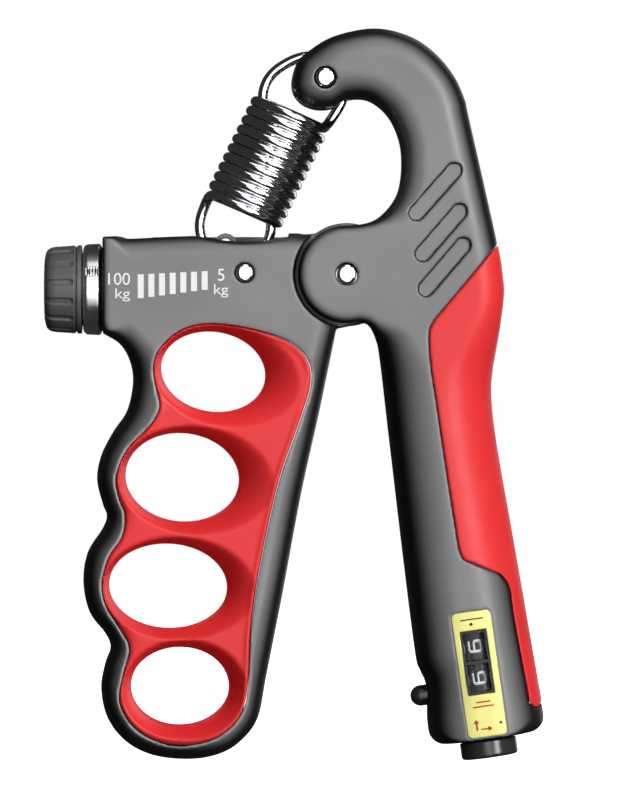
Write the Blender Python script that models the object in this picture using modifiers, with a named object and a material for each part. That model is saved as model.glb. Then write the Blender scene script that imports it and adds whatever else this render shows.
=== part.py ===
"""Adjustable hand gripper with a press counter: two hinged handles, an extension spring and a force adjuster.

Every size below is in millimetres. X runs to the right, Z up and -Y is the front.
Each physical piece is one object.
"""

import math

import bmesh
import bpy
import numpy as np
from mathutils import Matrix, Vector

MM = 0.001
GAP = 0.3
HALF_GAP = GAP / 2
WELD = 0.00001

HALF_DEPTH = 13.0
GRIP_ROUNDING = 5.0
PALM_ROUNDING = 5.0
ROUNDING_STEPS = 1
FAR = 30.0

# The pivot that joins the handles.
PIVOT = (11.7, 109.6)
CHEEK_R = 11.0
TONGUE_R = 11.6
TONGUE_HALF = 5.9
TONGUE_POCKET_R = 12.5
TONGUE_POCKET_HALF = 7.1
CHEEK_RECESS_R = 11.9
PIVOT_PIN_R = 2.2
PIN_FRONT_Y = -13.3
PIN_BACK_Y = 12.8
WASHER_R = 6.0
WASHER_NEAR = 6.2
WASHER_FAR = 6.8

# The spring, its two pins and the slot it sinks into.
SLIDER_PIN = (-15.6, 116.2)
HOOK_PIN = (6.9, 153.8)
HOOK_PIN_HEAD_R = 2.15
HOOK_PIN_SHANK_R = 1.6
HOOK_SLOT_HALF = 1.8
HOOK_SLOT_R = 6.8
SPRING_TILT = math.radians(26.2)
COIL_R = 8.1
WIRE_R = 1.1
COIL_START = 8.7
COIL_END = 33.4
COIL_TURNS = 10
TURN_POINTS = 12
LOWER_LOOP_AT = 4.9
UPPER_LOOP_AT = 37.2
UPPER_LOOP_STRETCH = 3.0
UPPER_LOOP_TOWARDS = math.radians(61)
LOOP_POINTS = 14
SPRING_CUTS = (4.5, 6.0)
TROUGH = ((-41.0, -1.5), 9.8, (112.5, 130.0))
TROUGH_LIP = ((-19.4, -3.0), (-14.0, -5.0), (116.9, 130.0))

# The force adjuster: knob, screw and slider along one horizontal axis.
SCREW_Z = 106.3
SCREW_R = 2.5
SCREW_END_X = -7.5
SCREW_BORE_R = 2.8
SCREW_BORE_END_X = -7.0
CHAMBER = ((-40.4, -9.3), 6.3, (101.3, 113.0))
KNOB_X = (-56.5, -48.1)
KNOB_R = 10.0
KNOB_GROOVES = 14
KNOB_GROOVE_DEPTH = 0.6
KNOB_GROOVE_POINTS = 6
KNOB_BORE_X = -52.5
COLLAR_X = (-47.8, -43.5)
COLLAR_R = 10.35
CLIP_X = (-40.1, -39.3)
CLIP_R = 4.4
NUT_X = (-19.3, -12.9)
NUT_HALF = 5.4
NUT_Z = (101.8, 110.2)
LUG_X = (-18.3, -12.9)
LUG_SLOT_HALF = 1.9
SLIDER_PIN_R = 1.5

RIVET = (-11.2, 109.9)
RIVET_SHANK_R = 1.1
RIVET_HEAD_R = 2.0
RIVET_HEAD_Y = 9.5

GRIP_SCREWS = ((-3.2, 104.8), (-33.0, 96.0), (-1.4, 60.0))
PALM_SCREWS = ((27.0, 151.8), (24.9, 101.6), (28.5, 62.0), (38.0, 38.5))
SCREW_SHANK_R = 1.0
SCREW_HEAD_R = 1.8
SCREW_HEAD_Y = (10.2, 12.3)
SCREW_TIP_Y = -8.0

# The lower end of the palm arm leans; the counter is laid out along it, up from the middle of its end face.
HANDLE_LEAN = math.radians(8.1)
HANDLE_END = (43.3, 5.0)
AXLE_Y = -4.9
AXLE_T = 0.2
WHEEL_R = 6.4
TENS_S = (10.6, 17.3)
UNITS_S = (17.8, 24.5)
AXLE_R = 1.2
AXLE_S = (5.8, 28.6)
RESET_R = 6.4
RESET_S = (-4.2, -0.35)
RESET_STEM_R = 2.0
COUNTER_CAVITY = ((-7.5, 7.5), 9.6, (4.0, 30.0))
LABEL_S = (0.3, 29.0)
LABEL_T = (-4.2, 4.7)
LABEL_Y = (-13.0, -12.7)
WINDOW_S = (10.4, 24.7)
WINDOW_T = (-2.7, 3.1)
WINDOW_BAR_S = 17.55
BEZEL_Y = (-13.1, -12.4)
LENS_Y = (-12.2, -11.7)
PLUNGER_S = 11.5
PLUNGER_R = 2.35
PLUNGER_T = (-15.7, -9.9)
PLUNGER_FLANGE_R = 3.0
RETURN_SPRING_T = (-9.6, -5.9)

# The three slanted grooves beside the hook, as end centres.
GROOVE_WIDTH = 3.5
GROOVE_DEPTH = 0.9
GROOVES = (
    ((27.4, 123.3), (35.9, 132.9)),
    ((28.8, 114.1), (37.1, 123.7)),
    ((29.5, 106.3), (37.9, 116.1)),
)

# The finger holes: centre, half length, half height and lean.
FINGER_HOLES = (
    ((-18.5, 87.7), 11.9, 9.0, math.radians(-10)),
    ((-25.5, 63.8), 12.9, 10.0, math.radians(-5)),
    ((-28.7, 39.3), 13.4, 9.6, math.radians(-2)),
    ((-26.0, 16.7), 11.1, 8.9, math.radians(2)),
)
HOLE_SEGMENTS = 24
INSERT_FACE = 11.6
INSERT_ROUNDING = 0.8
FUNNEL_DEPTH = 4.5
FUNNEL_GROWTH = 1.18

# Outlines run clockwise seen from the front. A point with a third value is a sharp corner.
GRIP_TOP = ((-43.2, 96.3, 1), (-43.2, 118.0, 1), (-21.5, 119.0), (-2.5, 119.0), (2.4, 118.6, 1))
GRIP_REST = (
    (9.4, 97.4, 1), (5.6, 79.0), (1.4, 60.0), (-2.7, 38.0), (-6.4, 19.0), (-8.4, 9.5), (-12.7, 4.0),
    (-18.0, 1.2), (-24.5, 0.3), (-32.0, 1.2), (-38.0, 4.2), (-42.2, 9.5), (-43.7, 16.2), (-42.8, 22.0),
    (-41.6, 25.6), (-42.7, 28.6), (-46.3, 33.5), (-47.7, 40.4), (-46.7, 47.0), (-43.4, 52.3), (-42.4, 55.2),
    (-43.3, 57.8), (-44.6, 63.3), (-43.7, 68.7), (-41.0, 74.1), (-37.8, 79.0), (-36.5, 85.5), (-37.3, 90.4),
    (-39.5, 94.0),
)
INSERT_OUTLINE = (
    (-19.3, 98.5), (-25.7, 97.0), (-30.4, 92.8), (-31.8, 88.5), (-31.1, 83.5), (-30.4, 79.5), (-32.7, 75.4),
    (-37.8, 70.0), (-40.2, 64.0), (-39.6, 59.3), (-38.2, 55.3), (-38.9, 50.5), (-41.9, 45.8), (-43.4, 39.8),
    (-42.4, 34.8), (-39.2, 29.6), (-37.2, 25.4), (-38.6, 19.5), (-39.4, 13.5), (-36.6, 8.1), (-31.5, 4.7),
    (-24.8, 3.5), (-17.0, 5.6), (-11.9, 10.8), (-10.4, 18.0), (-9.8, 29.6), (-8.4, 40.4), (-5.7, 53.9),
    (-3.0, 64.7), (0.8, 75.4), (3.4, 83.5), (3.6, 88.5), (1.6, 92.2), (-2.8, 95.2), (-10.5, 97.5),
)
PALM_OUTER = (
    (1.0, 148.6), (-0.8, 152.0), (0.4, 157.2), (3.2, 160.0), (9.0, 163.3), (17.8, 165.0), (25.5, 163.4),
    (31.2, 159.8), (35.8, 154.4), (38.3, 149.0), (39.3, 144.6), (45.4, 117.5), (46.8, 109.0), (47.0, 104.5),
    (46.0, 96.5), (44.6, 88.0), (44.3, 82.0), (45.5, 71.4), (49.3, 49.8), (55.6, 14.0, 1), (58.3, -3.0, 1),
    (31.9, -6.5, 1), (29.9, 9.0, 1), (29.6, 16.8), (28.3, 20.2), (27.2, 24.0), (24.6, 44.5), (21.4, 71.4),
    (19.2, 90.3), (18.3, 95.0), (16.7, 98.2),
)
PALM_HOOK = (
    (14.9, 120.8), (18.5, 122.1), (21.8, 125.5), (23.5, 129.3), (24.1, 134.7), (23.5, 140.1), (21.0, 145.5),
    (16.7, 149.0), (12.0, 149.2), (8.6, 147.3), (4.6, 147.0),
)
PAD_THICKNESS = 2.6
PAD_OUTLINE = (
    (62.0, 135.6, 1), (31.5, 99.4, 1), (30.2, 96.3), (30.6, 89.0), (31.8, 80.8), (34.2, 64.7), (36.9, 47.6, 1),
    (37.9, 45.4, 1), (46.4, 42.0, 1), (48.3, 39.0), (49.3, 32.3), (52.8, 13.0), (54.3, 12.0), (62.0, 13.2, 1),
)

STEEL = (0.80, 0.80, 0.82)
DARK = (0.05, 0.05, 0.055)
RED = (0.72, 0.03, 0.035)


def remove_everything():
    for obj in list(bpy.data.objects):
        bpy.data.objects.remove(obj, do_unlink=True)


def new_collection(name):
    collection = bpy.data.collections.new(name)
    bpy.context.scene.collection.children.link(collection)
    return collection


def smooth_loop(points, steps=2):
    """A closed outline that runs smoothly through the points, straight between two sharp ones."""
    outline = []
    count = len(points)
    for i in range(count):
        before, start, end, after = (np.array(points[(i + k) % count][:2], float) for k in (-1, 0, 1, 2))
        start_sharp = len(points[i]) > 2
        end_sharp = len(points[(i + 1) % count]) > 2
        if start_sharp and end_sharp:
            outline.append(tuple(start))
            continue
        leave = (end - start) if start_sharp else (end - before) / 2
        arrive = (end - start) if end_sharp else (after - start) / 2
        for step in range(steps):
            t = step / steps
            place = (2 * t**3 - 3 * t**2 + 1) * start + (t**3 - 2 * t**2 + t) * leave
            place += (3 * t**2 - 2 * t**3) * end + (t**3 - t**2) * arrive
            outline.append(tuple(place))
    return outline


def arc(centre, radius, first, last, count):
    """Points with a sharp mark along an arc, its angles in degrees."""
    angles = np.radians(np.linspace(first, last, count))
    return tuple((centre[0] + radius * math.cos(a), centre[1] + radius * math.sin(a), 1) for a in angles)


def grip_outline():
    tongue = arc(PIVOT, TONGUE_R, 127, -87, 15)
    return smooth_loop(GRIP_TOP + tongue + GRIP_REST)


def palm_outline():
    cheek = arc(PIVOT, CHEEK_R, -76, -262, 13)
    return smooth_loop(PALM_OUTER + cheek + PALM_HOOK)


def ellipse(centre, half_long, half_high, lean, segments=HOLE_SEGMENTS):
    turn = np.array(((math.cos(lean), -math.sin(lean)), (math.sin(lean), math.cos(lean))))
    angles = [2 * math.pi * i / segments for i in range(segments)]
    return [tuple(np.array(centre) + turn @ (half_long * math.cos(a), half_high * math.sin(a))) for a in angles]


def rectangle(low, high):
    return [(low[0], low[1]), (low[0], high[1]), (high[0], high[1]), (high[0], low[1])]


def capsule(start, end, width, steps=6):
    """The outline of a round-ended slot between two end centres."""
    lean = math.degrees(math.atan2(end[1] - start[1], end[0] - start[0]))
    far_end = arc(end, width / 2, lean + 90, lean - 90, steps)
    near_end = arc(start, width / 2, lean - 90, lean - 270, steps)
    return [point[:2] for point in far_end + near_end]


HANDLE_FRAME = Matrix.Translation((HANDLE_END[0] * MM, 0, HANDLE_END[1] * MM))
HANDLE_FRAME = HANDLE_FRAME @ Matrix.Rotation(-HANDLE_LEAN, 4, "Y")
ALONG_X = Matrix.Rotation(math.pi / 2, 4, "Y")
ALONG_Y = Matrix.Rotation(-math.pi / 2, 4, "X")


def at(x, y, z):
    return Matrix.Translation((x * MM, y * MM, z * MM))


def smooth_shade(mesh, angle=math.radians(35)):
    mesh.shade_smooth()
    mesh.set_sharp_from_angle(angle=angle)


def mesh_object(name, mesh, place=Matrix()):
    obj = bpy.data.objects.new(name, mesh)
    PARTS.objects.link(obj)
    obj.matrix_world = place
    return obj


def from_curve(name, curve, turn=Matrix()):
    """The curve as one closed mesh object; the curve itself is removed."""
    guide = bpy.data.objects.new(name + "_guide", curve)
    PARTS.objects.link(guide)
    bpy.context.view_layer.update()
    mesh = bpy.data.meshes.new_from_object(guide.evaluated_get(bpy.context.evaluated_depsgraph_get()))
    mesh.name = name
    shape = bmesh.new()
    shape.from_mesh(mesh)
    bmesh.ops.remove_doubles(shape, verts=shape.verts, dist=WELD)
    bmesh.ops.transform(shape, matrix=turn, verts=shape.verts)
    bmesh.ops.recalc_face_normals(shape, faces=shape.faces)
    shape.to_mesh(mesh)
    shape.free()
    mesh.materials.clear()
    smooth_shade(mesh)
    bpy.data.objects.remove(guide)
    bpy.data.curves.remove(curve)
    return mesh_object(name, mesh)


def plate(name, outline, low, high, rounding=0.0, grow=0.0, place=Matrix()):
    """A flat outline in X and Z as a solid from y = low to y = high, its long edges rounded."""
    curve = bpy.data.curves.new(name, "CURVE")
    curve.dimensions = "2D"
    curve.fill_mode = "BOTH"
    curve.extrude = ((high - low) / 2 - rounding) * MM
    curve.bevel_depth = rounding * MM
    curve.bevel_resolution = ROUNDING_STEPS
    curve.offset = (grow - rounding) * MM
    spline = curve.splines.new("POLY")
    spline.points.add(len(outline) - 1)
    for point, corner in zip(spline.points, outline):
        point.co = (corner[0] * MM, corner[1] * MM, 0, 1)
    spline.use_cyclic_u = True
    obj = from_curve(name, curve, Matrix.Rotation(math.pi / 2, 4, "X"))
    obj.matrix_world = place @ at(0, (low + high) / 2, 0)
    return obj


def wire(name, path, radius, resolution=2):
    """A round wire along a path of points, with closed ends."""
    curve = bpy.data.curves.new(name, "CURVE")
    curve.dimensions = "3D"
    curve.bevel_depth = radius * MM
    curve.bevel_resolution = resolution
    curve.use_fill_caps = True
    spline = curve.splines.new("POLY")
    spline.points.add(len(path) - 1)
    for point, place in zip(spline.points, path):
        point.co = (place[0] * MM, place[1] * MM, place[2] * MM, 1)
    return from_curve(name, curve)


def lathe(name, profile, place, steps=24, ring=False):
    """A profile of (radius, height) points, top to bottom, turned about local Z; a ring's profile closes."""
    mesh = bpy.data.meshes.new(name)
    points = [(radius * MM, 0, height * MM) for radius, height in profile]
    edges = [(i, i + 1) for i in range(len(points) - 1)]
    if ring:
        edges.append((len(points) - 1, 0))
    mesh.from_pydata(points, edges, [])
    obj = mesh_object(name, mesh, place)
    turn = obj.modifiers.new("Turn", "SCREW")
    turn.steps = steps
    turn.render_steps = steps
    turn.use_merge_vertices = True
    turn.merge_threshold = WELD
    turn.use_smooth_shade = True
    return obj


def cylinder(name, radius, low, high, place, segments=24):
    mesh = bpy.data.meshes.new(name)
    shape = bmesh.new()
    bmesh.ops.create_cone(
        shape, cap_ends=True, segments=segments,
        radius1=radius * MM, radius2=radius * MM, depth=(high - low) * MM,
    )
    shape.to_mesh(mesh)
    shape.free()
    smooth_shade(mesh)
    return mesh_object(name, mesh, place @ at(0, 0, (low + high) / 2))


def box(name, x_range, y_range, z_range, place=Matrix()):
    mesh = bpy.data.meshes.new(name)
    shape = bmesh.new()
    bmesh.ops.create_cube(shape, size=1)
    size = [(pair[1] - pair[0]) * MM for pair in (x_range, y_range, z_range)]
    bmesh.ops.scale(shape, vec=size, verts=shape.verts)
    shape.to_mesh(mesh)
    shape.free()
    middle = [(pair[0] + pair[1]) / 2 for pair in (x_range, y_range, z_range)]
    return mesh_object(name, mesh, place @ at(*middle))


def symmetric_box(name, room, place=Matrix()):
    """A box from its X range, its half depth in Y and its Z range."""
    return box(name, room[0], (-room[1], room[1]), room[2], place)


def combine(target, other, operation):
    """A live Boolean; the other solid becomes a hidden guide."""
    if CUTTERS.objects.get(other.name) is None:
        PARTS.objects.unlink(other)
        CUTTERS.objects.link(other)
        other.hide_render = True
        other.display_type = "WIRE"
    modifier = target.modifiers.new(other.name, "BOOLEAN")
    modifier.operation = operation
    modifier.solver = "EXACT"
    modifier.object = other
    return target


def cut(target, *cutters):
    for cutter in cutters:
        combine(target, cutter, "DIFFERENCE")
    return target


def keep_inside(target, other):
    return combine(target, other, "INTERSECT")


def add_to(target, other):
    return combine(target, other, "UNION")


def paint(obj, color, roughness, metallic=0.0):
    material = bpy.data.materials.new(obj.name)
    material.use_nodes = True
    shader = material.node_tree.nodes["Principled BSDF"]
    shader.inputs["Base Color"].default_value = (*color, 1)
    shader.inputs["Roughness"].default_value = roughness
    shader.inputs["Metallic"].default_value = metallic
    obj.data.materials.append(material)
    return obj


def paint_plastic(obj, color=DARK, roughness=0.45):
    return paint(obj, color, roughness)


def paint_steel(obj, roughness=0.15):
    return paint(obj, STEEL, roughness, 1.0)


def joint_empty(name, place):
    empty = bpy.data.objects.new(name, None)
    PARTS.objects.link(empty)
    empty.matrix_world = place
    empty.empty_display_size = 0.01
    return empty


def carry(parent, *children):
    """Parents the children without moving them."""
    bpy.context.view_layer.update()
    for child in children:
        child.parent = parent
        child.matrix_parent_inverse = parent.matrix_world.inverted()


def across(x, z):
    """The frame of a pin along Y through a point of the front view."""
    return at(x, 0, z) @ ALONG_Y


def half_space(name, side):
    """The room on one side of the parting plane: side -1 is the front, 1 the back."""
    reach = (HALF_GAP, FAR) if side > 0 else (-FAR, -HALF_GAP)
    return box(name, (-90, 90), reach, (-30, 200))


def assembly_screw_hole(name, x, z):
    low, high = SCREW_HEAD_Y[0] - GAP, FAR
    shank, head = SCREW_SHANK_R + GAP, SCREW_HEAD_R + GAP
    tip = SCREW_TIP_Y - GAP
    profile = ((0, high), (head, high), (head, low), (shank, low), (shank, tip), (0, tip))
    return lathe(name, profile, across(x, z), 12)


def assembly_screw(name, x, z):
    """A round-head screw put in from the back."""
    low, high = SCREW_HEAD_Y
    profile = (
        (0, high), (SCREW_HEAD_R * 0.7, high), (SCREW_HEAD_R, high - 0.6), (SCREW_HEAD_R, low),
        (SCREW_SHANK_R, low), (SCREW_SHANK_R, SCREW_TIP_Y + 1), (0, SCREW_TIP_Y),
    )
    screw = lathe(name, profile, across(x, z), 12)
    recess = box(name + "_slot", (-1.5, 1.5), (-0.3, 0.3), (high - 0.8, high + 1), across(x, z))
    return paint_steel(cut(screw, recess), 0.3)


def domed_pin(name, x, z, head_r, shank_r, head_from):
    """A pin through the whole depth, domed at both ends, proud of the front and just below the back."""
    profile = [(0, PIN_BACK_Y)]
    profile += [(head_r * 0.7, PIN_BACK_Y - 0.2), (head_r, PIN_BACK_Y - 0.8), (head_r, head_from)]
    if shank_r < head_r:
        profile += [(shank_r, head_from), (shank_r, -head_from)]
    profile += [(head_r, -head_from), (head_r, PIN_FRONT_Y + 0.8)]
    profile += [(head_r * 0.7, PIN_FRONT_Y + 0.2), (0, PIN_FRONT_Y)]
    return paint_steel(lathe(name, profile, across(x, z), 16))


def pin_hole(name, x, z, head_r, shank_r, head_from):
    head, shank, step = head_r + GAP, shank_r + GAP, head_from - GAP
    profile = (
        (0, FAR), (head, FAR), (head, step), (shank, step),
        (shank, -step), (head, -step), (head, -FAR), (0, -FAR),
    )
    return lathe(name, profile, across(x, z), 16)


def finger_grip_cutters():
    cutters = [
        cylinder("cheek_recess_front", CHEEK_RECESS_R, -FAR, -TONGUE_HALF, across(*PIVOT), 36),
        cylinder("cheek_recess_back", CHEEK_RECESS_R, TONGUE_HALF, FAR, across(*PIVOT), 36),
        plate("insert_pocket", smooth_loop(INSERT_OUTLINE), -FAR, FAR),
        symmetric_box("spring_trough", TROUGH),
        box("spring_lip", *TROUGH_LIP),
        symmetric_box("nut_chamber", CHAMBER),
        cylinder("screw_bore", SCREW_BORE_R, -60, SCREW_BORE_END_X, at(0, 0, SCREW_Z) @ ALONG_X),
        cylinder("grip_pivot_bore", PIVOT_PIN_R + GAP, -FAR, FAR, across(*PIVOT)),
        pin_hole("rivet_hole", *RIVET, RIVET_HEAD_R, RIVET_SHANK_R, RIVET_HEAD_Y),
    ]
    cutters += [assembly_screw_hole(f"grip_screw_hole_{i}", *spot) for i, spot in enumerate(GRIP_SCREWS, 1)]
    return cutters


def finger_grip_shell(name, side, cutters):
    shell = plate(name, grip_outline(), -HALF_DEPTH, HALF_DEPTH, GRIP_ROUNDING)
    keep_inside(shell, half_space(name + "_side", side))
    return paint_plastic(cut(shell, *cutters))


def finger_insert(name, side):
    """One half of the soft insert, with the finger holes flared at its outer face."""
    low, high = sorted((side * HALF_GAP, side * INSERT_FACE))
    outline = smooth_loop(INSERT_OUTLINE)
    insert = plate(name, outline, -INSERT_FACE, INSERT_FACE, INSERT_ROUNDING, -GAP)
    keep_inside(insert, half_space(name + "_side", side))
    for i, (centre, half_long, half_high, lean) in enumerate(FINGER_HOLES, 1):
        hole = plate(f"{name}_hole_{i}", ellipse(centre, half_long, half_high, lean), -FAR, FAR)
        wide = ellipse(centre, half_long * FUNNEL_GROWTH, half_high * FUNNEL_GROWTH, lean)
        funnel = funnel_solid(f"{name}_funnel_{i}", ellipse(centre, half_long, half_high, lean), wide, side)
        cut(insert, hole, funnel)
    return paint_plastic(insert, RED, 0.4)


def funnel_solid(name, narrow, wide, side):
    """A loft from the hole's own outline to a wider one past the insert's face."""
    inner_y = side * (INSERT_FACE - FUNNEL_DEPTH)
    outer_y = side * (INSERT_FACE + 1)
    shape = bmesh.new()
    inner = [shape.verts.new((x * MM, inner_y * MM, z * MM)) for x, z in narrow]
    outer = [shape.verts.new((x * MM, outer_y * MM, z * MM)) for x, z in wide]
    count = len(inner)
    for i in range(count):
        shape.faces.new((inner[i], inner[(i + 1) % count], outer[(i + 1) % count], outer[i]))
    shape.faces.new(inner)
    shape.faces.new(outer)
    bmesh.ops.recalc_face_normals(shape, faces=shape.faces)
    mesh = bpy.data.meshes.new(name)
    shape.to_mesh(mesh)
    shape.free()
    return mesh_object(name, mesh)


def adjuster_collar():
    place = at(0, 0, SCREW_Z) @ ALONG_X
    low, high = COLLAR_X
    inner = SCREW_R + 0.8
    profile = (
        (inner, high), (COLLAR_R - 0.5, high), (COLLAR_R, high - 0.5),
        (COLLAR_R, low + 0.5), (COLLAR_R - 0.5, low), (inner, low),
    )
    return paint_steel(lathe("adjuster_collar", profile, place, 36, ring=True))


def knob_outline():
    """The knob's grooved section, in its own X and Z."""
    points = []
    for i in range(KNOB_GROOVES * KNOB_GROOVE_POINTS):
        angle = 2 * math.pi * i / (KNOB_GROOVES * KNOB_GROOVE_POINTS)
        radius = KNOB_R - KNOB_GROOVE_DEPTH * ((1 - math.cos(KNOB_GROOVES * angle)) / 2) ** 3
        points.append((radius * math.sin(angle), radius * math.cos(angle)))
    return points


def adjuster_knob():
    across_x = at(0, 0, SCREW_Z) @ Matrix.Rotation(-math.pi / 2, 4, "Z")
    knob = plate("adjuster_knob", knob_outline(), *KNOB_X, 0.9, place=across_x)
    bore = cylinder("knob_bore", SCREW_R + GAP, KNOB_BORE_X, KNOB_X[1] + 1, at(0, 0, SCREW_Z) @ ALONG_X)
    return paint_plastic(cut(knob, bore))


def lead_screw():
    start = KNOB_BORE_X + GAP
    core = SCREW_R - 0.7
    groove = (CLIP_X[0] - HALF_GAP, CLIP_X[1] + HALF_GAP)
    profile = (
        (0, SCREW_END_X), (SCREW_R - 0.5, SCREW_END_X), (SCREW_R, SCREW_END_X - 0.5), (SCREW_R, groove[1]),
        (core, groove[1]), (core, groove[0]), (SCREW_R, groove[0]), (SCREW_R, start), (0, start),
    )
    return paint_steel(lathe("lead_screw", profile, at(0, 0, SCREW_Z) @ ALONG_X, 20), 0.25)


def screw_clip():
    """The ring that stops the screw from moving along its axis."""
    inner = SCREW_R - 0.4
    low, high = CLIP_X
    profile = ((inner, high), (CLIP_R, high), (CLIP_R, low), (inner, low))
    return paint_steel(lathe("screw_clip", profile, at(0, 0, SCREW_Z) @ ALONG_X, 20, ring=True), 0.35)


def slider_nut():
    """The nut on the lead screw, with two lugs that hold the spring's lower pin."""
    pin_x, pin_z = SLIDER_PIN
    lug_r = (LUG_X[1] - LUG_X[0]) / 2
    lug_top = arc(((LUG_X[0] + LUG_X[1]) / 2, pin_z), lug_r, 180, 0, 9)
    low_left, low_right = (NUT_X[0], NUT_Z[0]), (NUT_X[1], NUT_Z[0])
    outline = [low_left, (NUT_X[0], NUT_Z[1]), (LUG_X[0], NUT_Z[1])] + [p[:2] for p in lug_top] + [low_right]
    nut = plate("slider_nut", outline, -NUT_HALF, NUT_HALF)
    slot = box("lug_slot", (-30, 0), (-LUG_SLOT_HALF, LUG_SLOT_HALF), (NUT_Z[1] + 0.4, 130))
    thread = cylinder("nut_thread", SCREW_R + GAP, -30, 0, at(0, 0, SCREW_Z) @ ALONG_X)
    pin_bore = cylinder("lug_bore", SLIDER_PIN_R + GAP, -FAR, FAR, across(pin_x, pin_z), 20)
    return paint(cut(nut, slot, thread, pin_bore), (0.10, 0.10, 0.11), 0.4, 1.0)


def slider_pin():
    half = NUT_HALF + 0.5
    return paint_steel(cylinder("slider_pin", SLIDER_PIN_R, -half, half, across(*SLIDER_PIN), 20))


def spring_point(along, side, depth):
    """A point in the spring's own frame: up its axis from the slider pin, to its lower right, and in Y."""
    x = SLIDER_PIN[0] + along * math.sin(SPRING_TILT) + side * math.cos(SPRING_TILT)
    z = SLIDER_PIN[1] + along * math.cos(SPRING_TILT) - side * math.sin(SPRING_TILT)
    return (x, depth, z)


def spring_path():
    """The whole wire, from the free end of the lower loop to the free end of the upper one."""
    path = []
    for i in range(LOOP_POINTS + 1):
        angle = math.radians(20 - 200 * i / LOOP_POINTS)
        path.append(spring_point(LOWER_LOOP_AT + COIL_R * math.sin(angle), COIL_R * math.cos(angle), 0))
    path.append(spring_point(COIL_START - 1.8, -COIL_R * 0.99, -0.4))
    for i in range(COIL_TURNS * TURN_POINTS + TURN_POINTS // 2 + 1):
        turn = i / TURN_POINTS
        angle = math.pi + 2 * math.pi * turn
        height = COIL_START + (COIL_END - COIL_START) * turn / (COIL_TURNS + 0.5)
        path.append(spring_point(height, COIL_R * math.cos(angle), COIL_R * math.sin(angle)))
    path.append(spring_point(COIL_END + 1.8, COIL_R * 0.99, 0.4))
    for i in range(LOOP_POINTS + 1):
        angle = math.radians(200 * i / LOOP_POINTS)
        towards = max(0.0, math.cos(angle - UPPER_LOOP_TOWARDS))
        radius = COIL_R + UPPER_LOOP_STRETCH * towards**2
        path.append(spring_point(UPPER_LOOP_AT + radius * math.sin(angle), radius * math.cos(angle), 0))
    return path


def coil_index(turn):
    """The path index of a place along the coil, counted in turns."""
    return LOOP_POINTS + 2 + int(turn * TURN_POINTS)


def spring_pieces():
    """The one wire, as three lengths that its stretch can move apart; each cut is across a straight step."""
    path = [np.array(point) for point in spring_path()]
    names = ("spring_lower_coil", "spring_middle_coil", "spring_upper_coil")
    cuts = [coil_index(turn) for turn in SPRING_CUTS]
    starts = [0] + [i + 1 for i in cuts]
    ends = [i + 1 for i in cuts] + [len(path)]
    pieces = []
    for name, start, end in zip(names, starts, ends):
        points = path[start:end]
        if start > 0:
            step = path[start] - path[start - 1]
            points.insert(0, path[start] - step / 2 + step / np.linalg.norm(step) * HALF_GAP)
        if end < len(path):
            step = path[end] - path[end - 1]
            points.append(path[end - 1] + step / 2 - step / np.linalg.norm(step) * HALF_GAP)
        pieces.append(paint_steel(wire(name, points, WIRE_R)))
    return pieces


def palm_pad_seat():
    """What the pad fills: everything outside the arm's core, within the pad's outline."""
    seat = plate("pad_seat", smooth_loop(PAD_OUTLINE), -FAR, FAR, grow=GAP)
    inner = HALF_DEPTH - PAD_THICKNESS - GAP
    core = plate("pad_seat_core", palm_outline(), -inner, inner, grow=-PAD_THICKNESS - GAP)
    return cut(seat, core)


def palm_end_cutter():
    return box("palm_end", (-30, 30), (-FAR, FAR), (-30, 0), HANDLE_FRAME)


def palm_pad():
    pad = plate("palm_pad", palm_outline(), -HALF_DEPTH, HALF_DEPTH, PALM_ROUNDING)
    keep_inside(pad, plate("pad_area", smooth_loop(PAD_OUTLINE), -FAR, FAR))
    inner = HALF_DEPTH - PAD_THICKNESS
    core = plate("pad_core", palm_outline(), -inner, inner, grow=-PAD_THICKNESS)
    return paint_plastic(cut(pad, core), RED, 0.4)


def axle_frame():
    return HANDLE_FRAME @ at(AXLE_T, AXLE_Y, 0)


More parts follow.
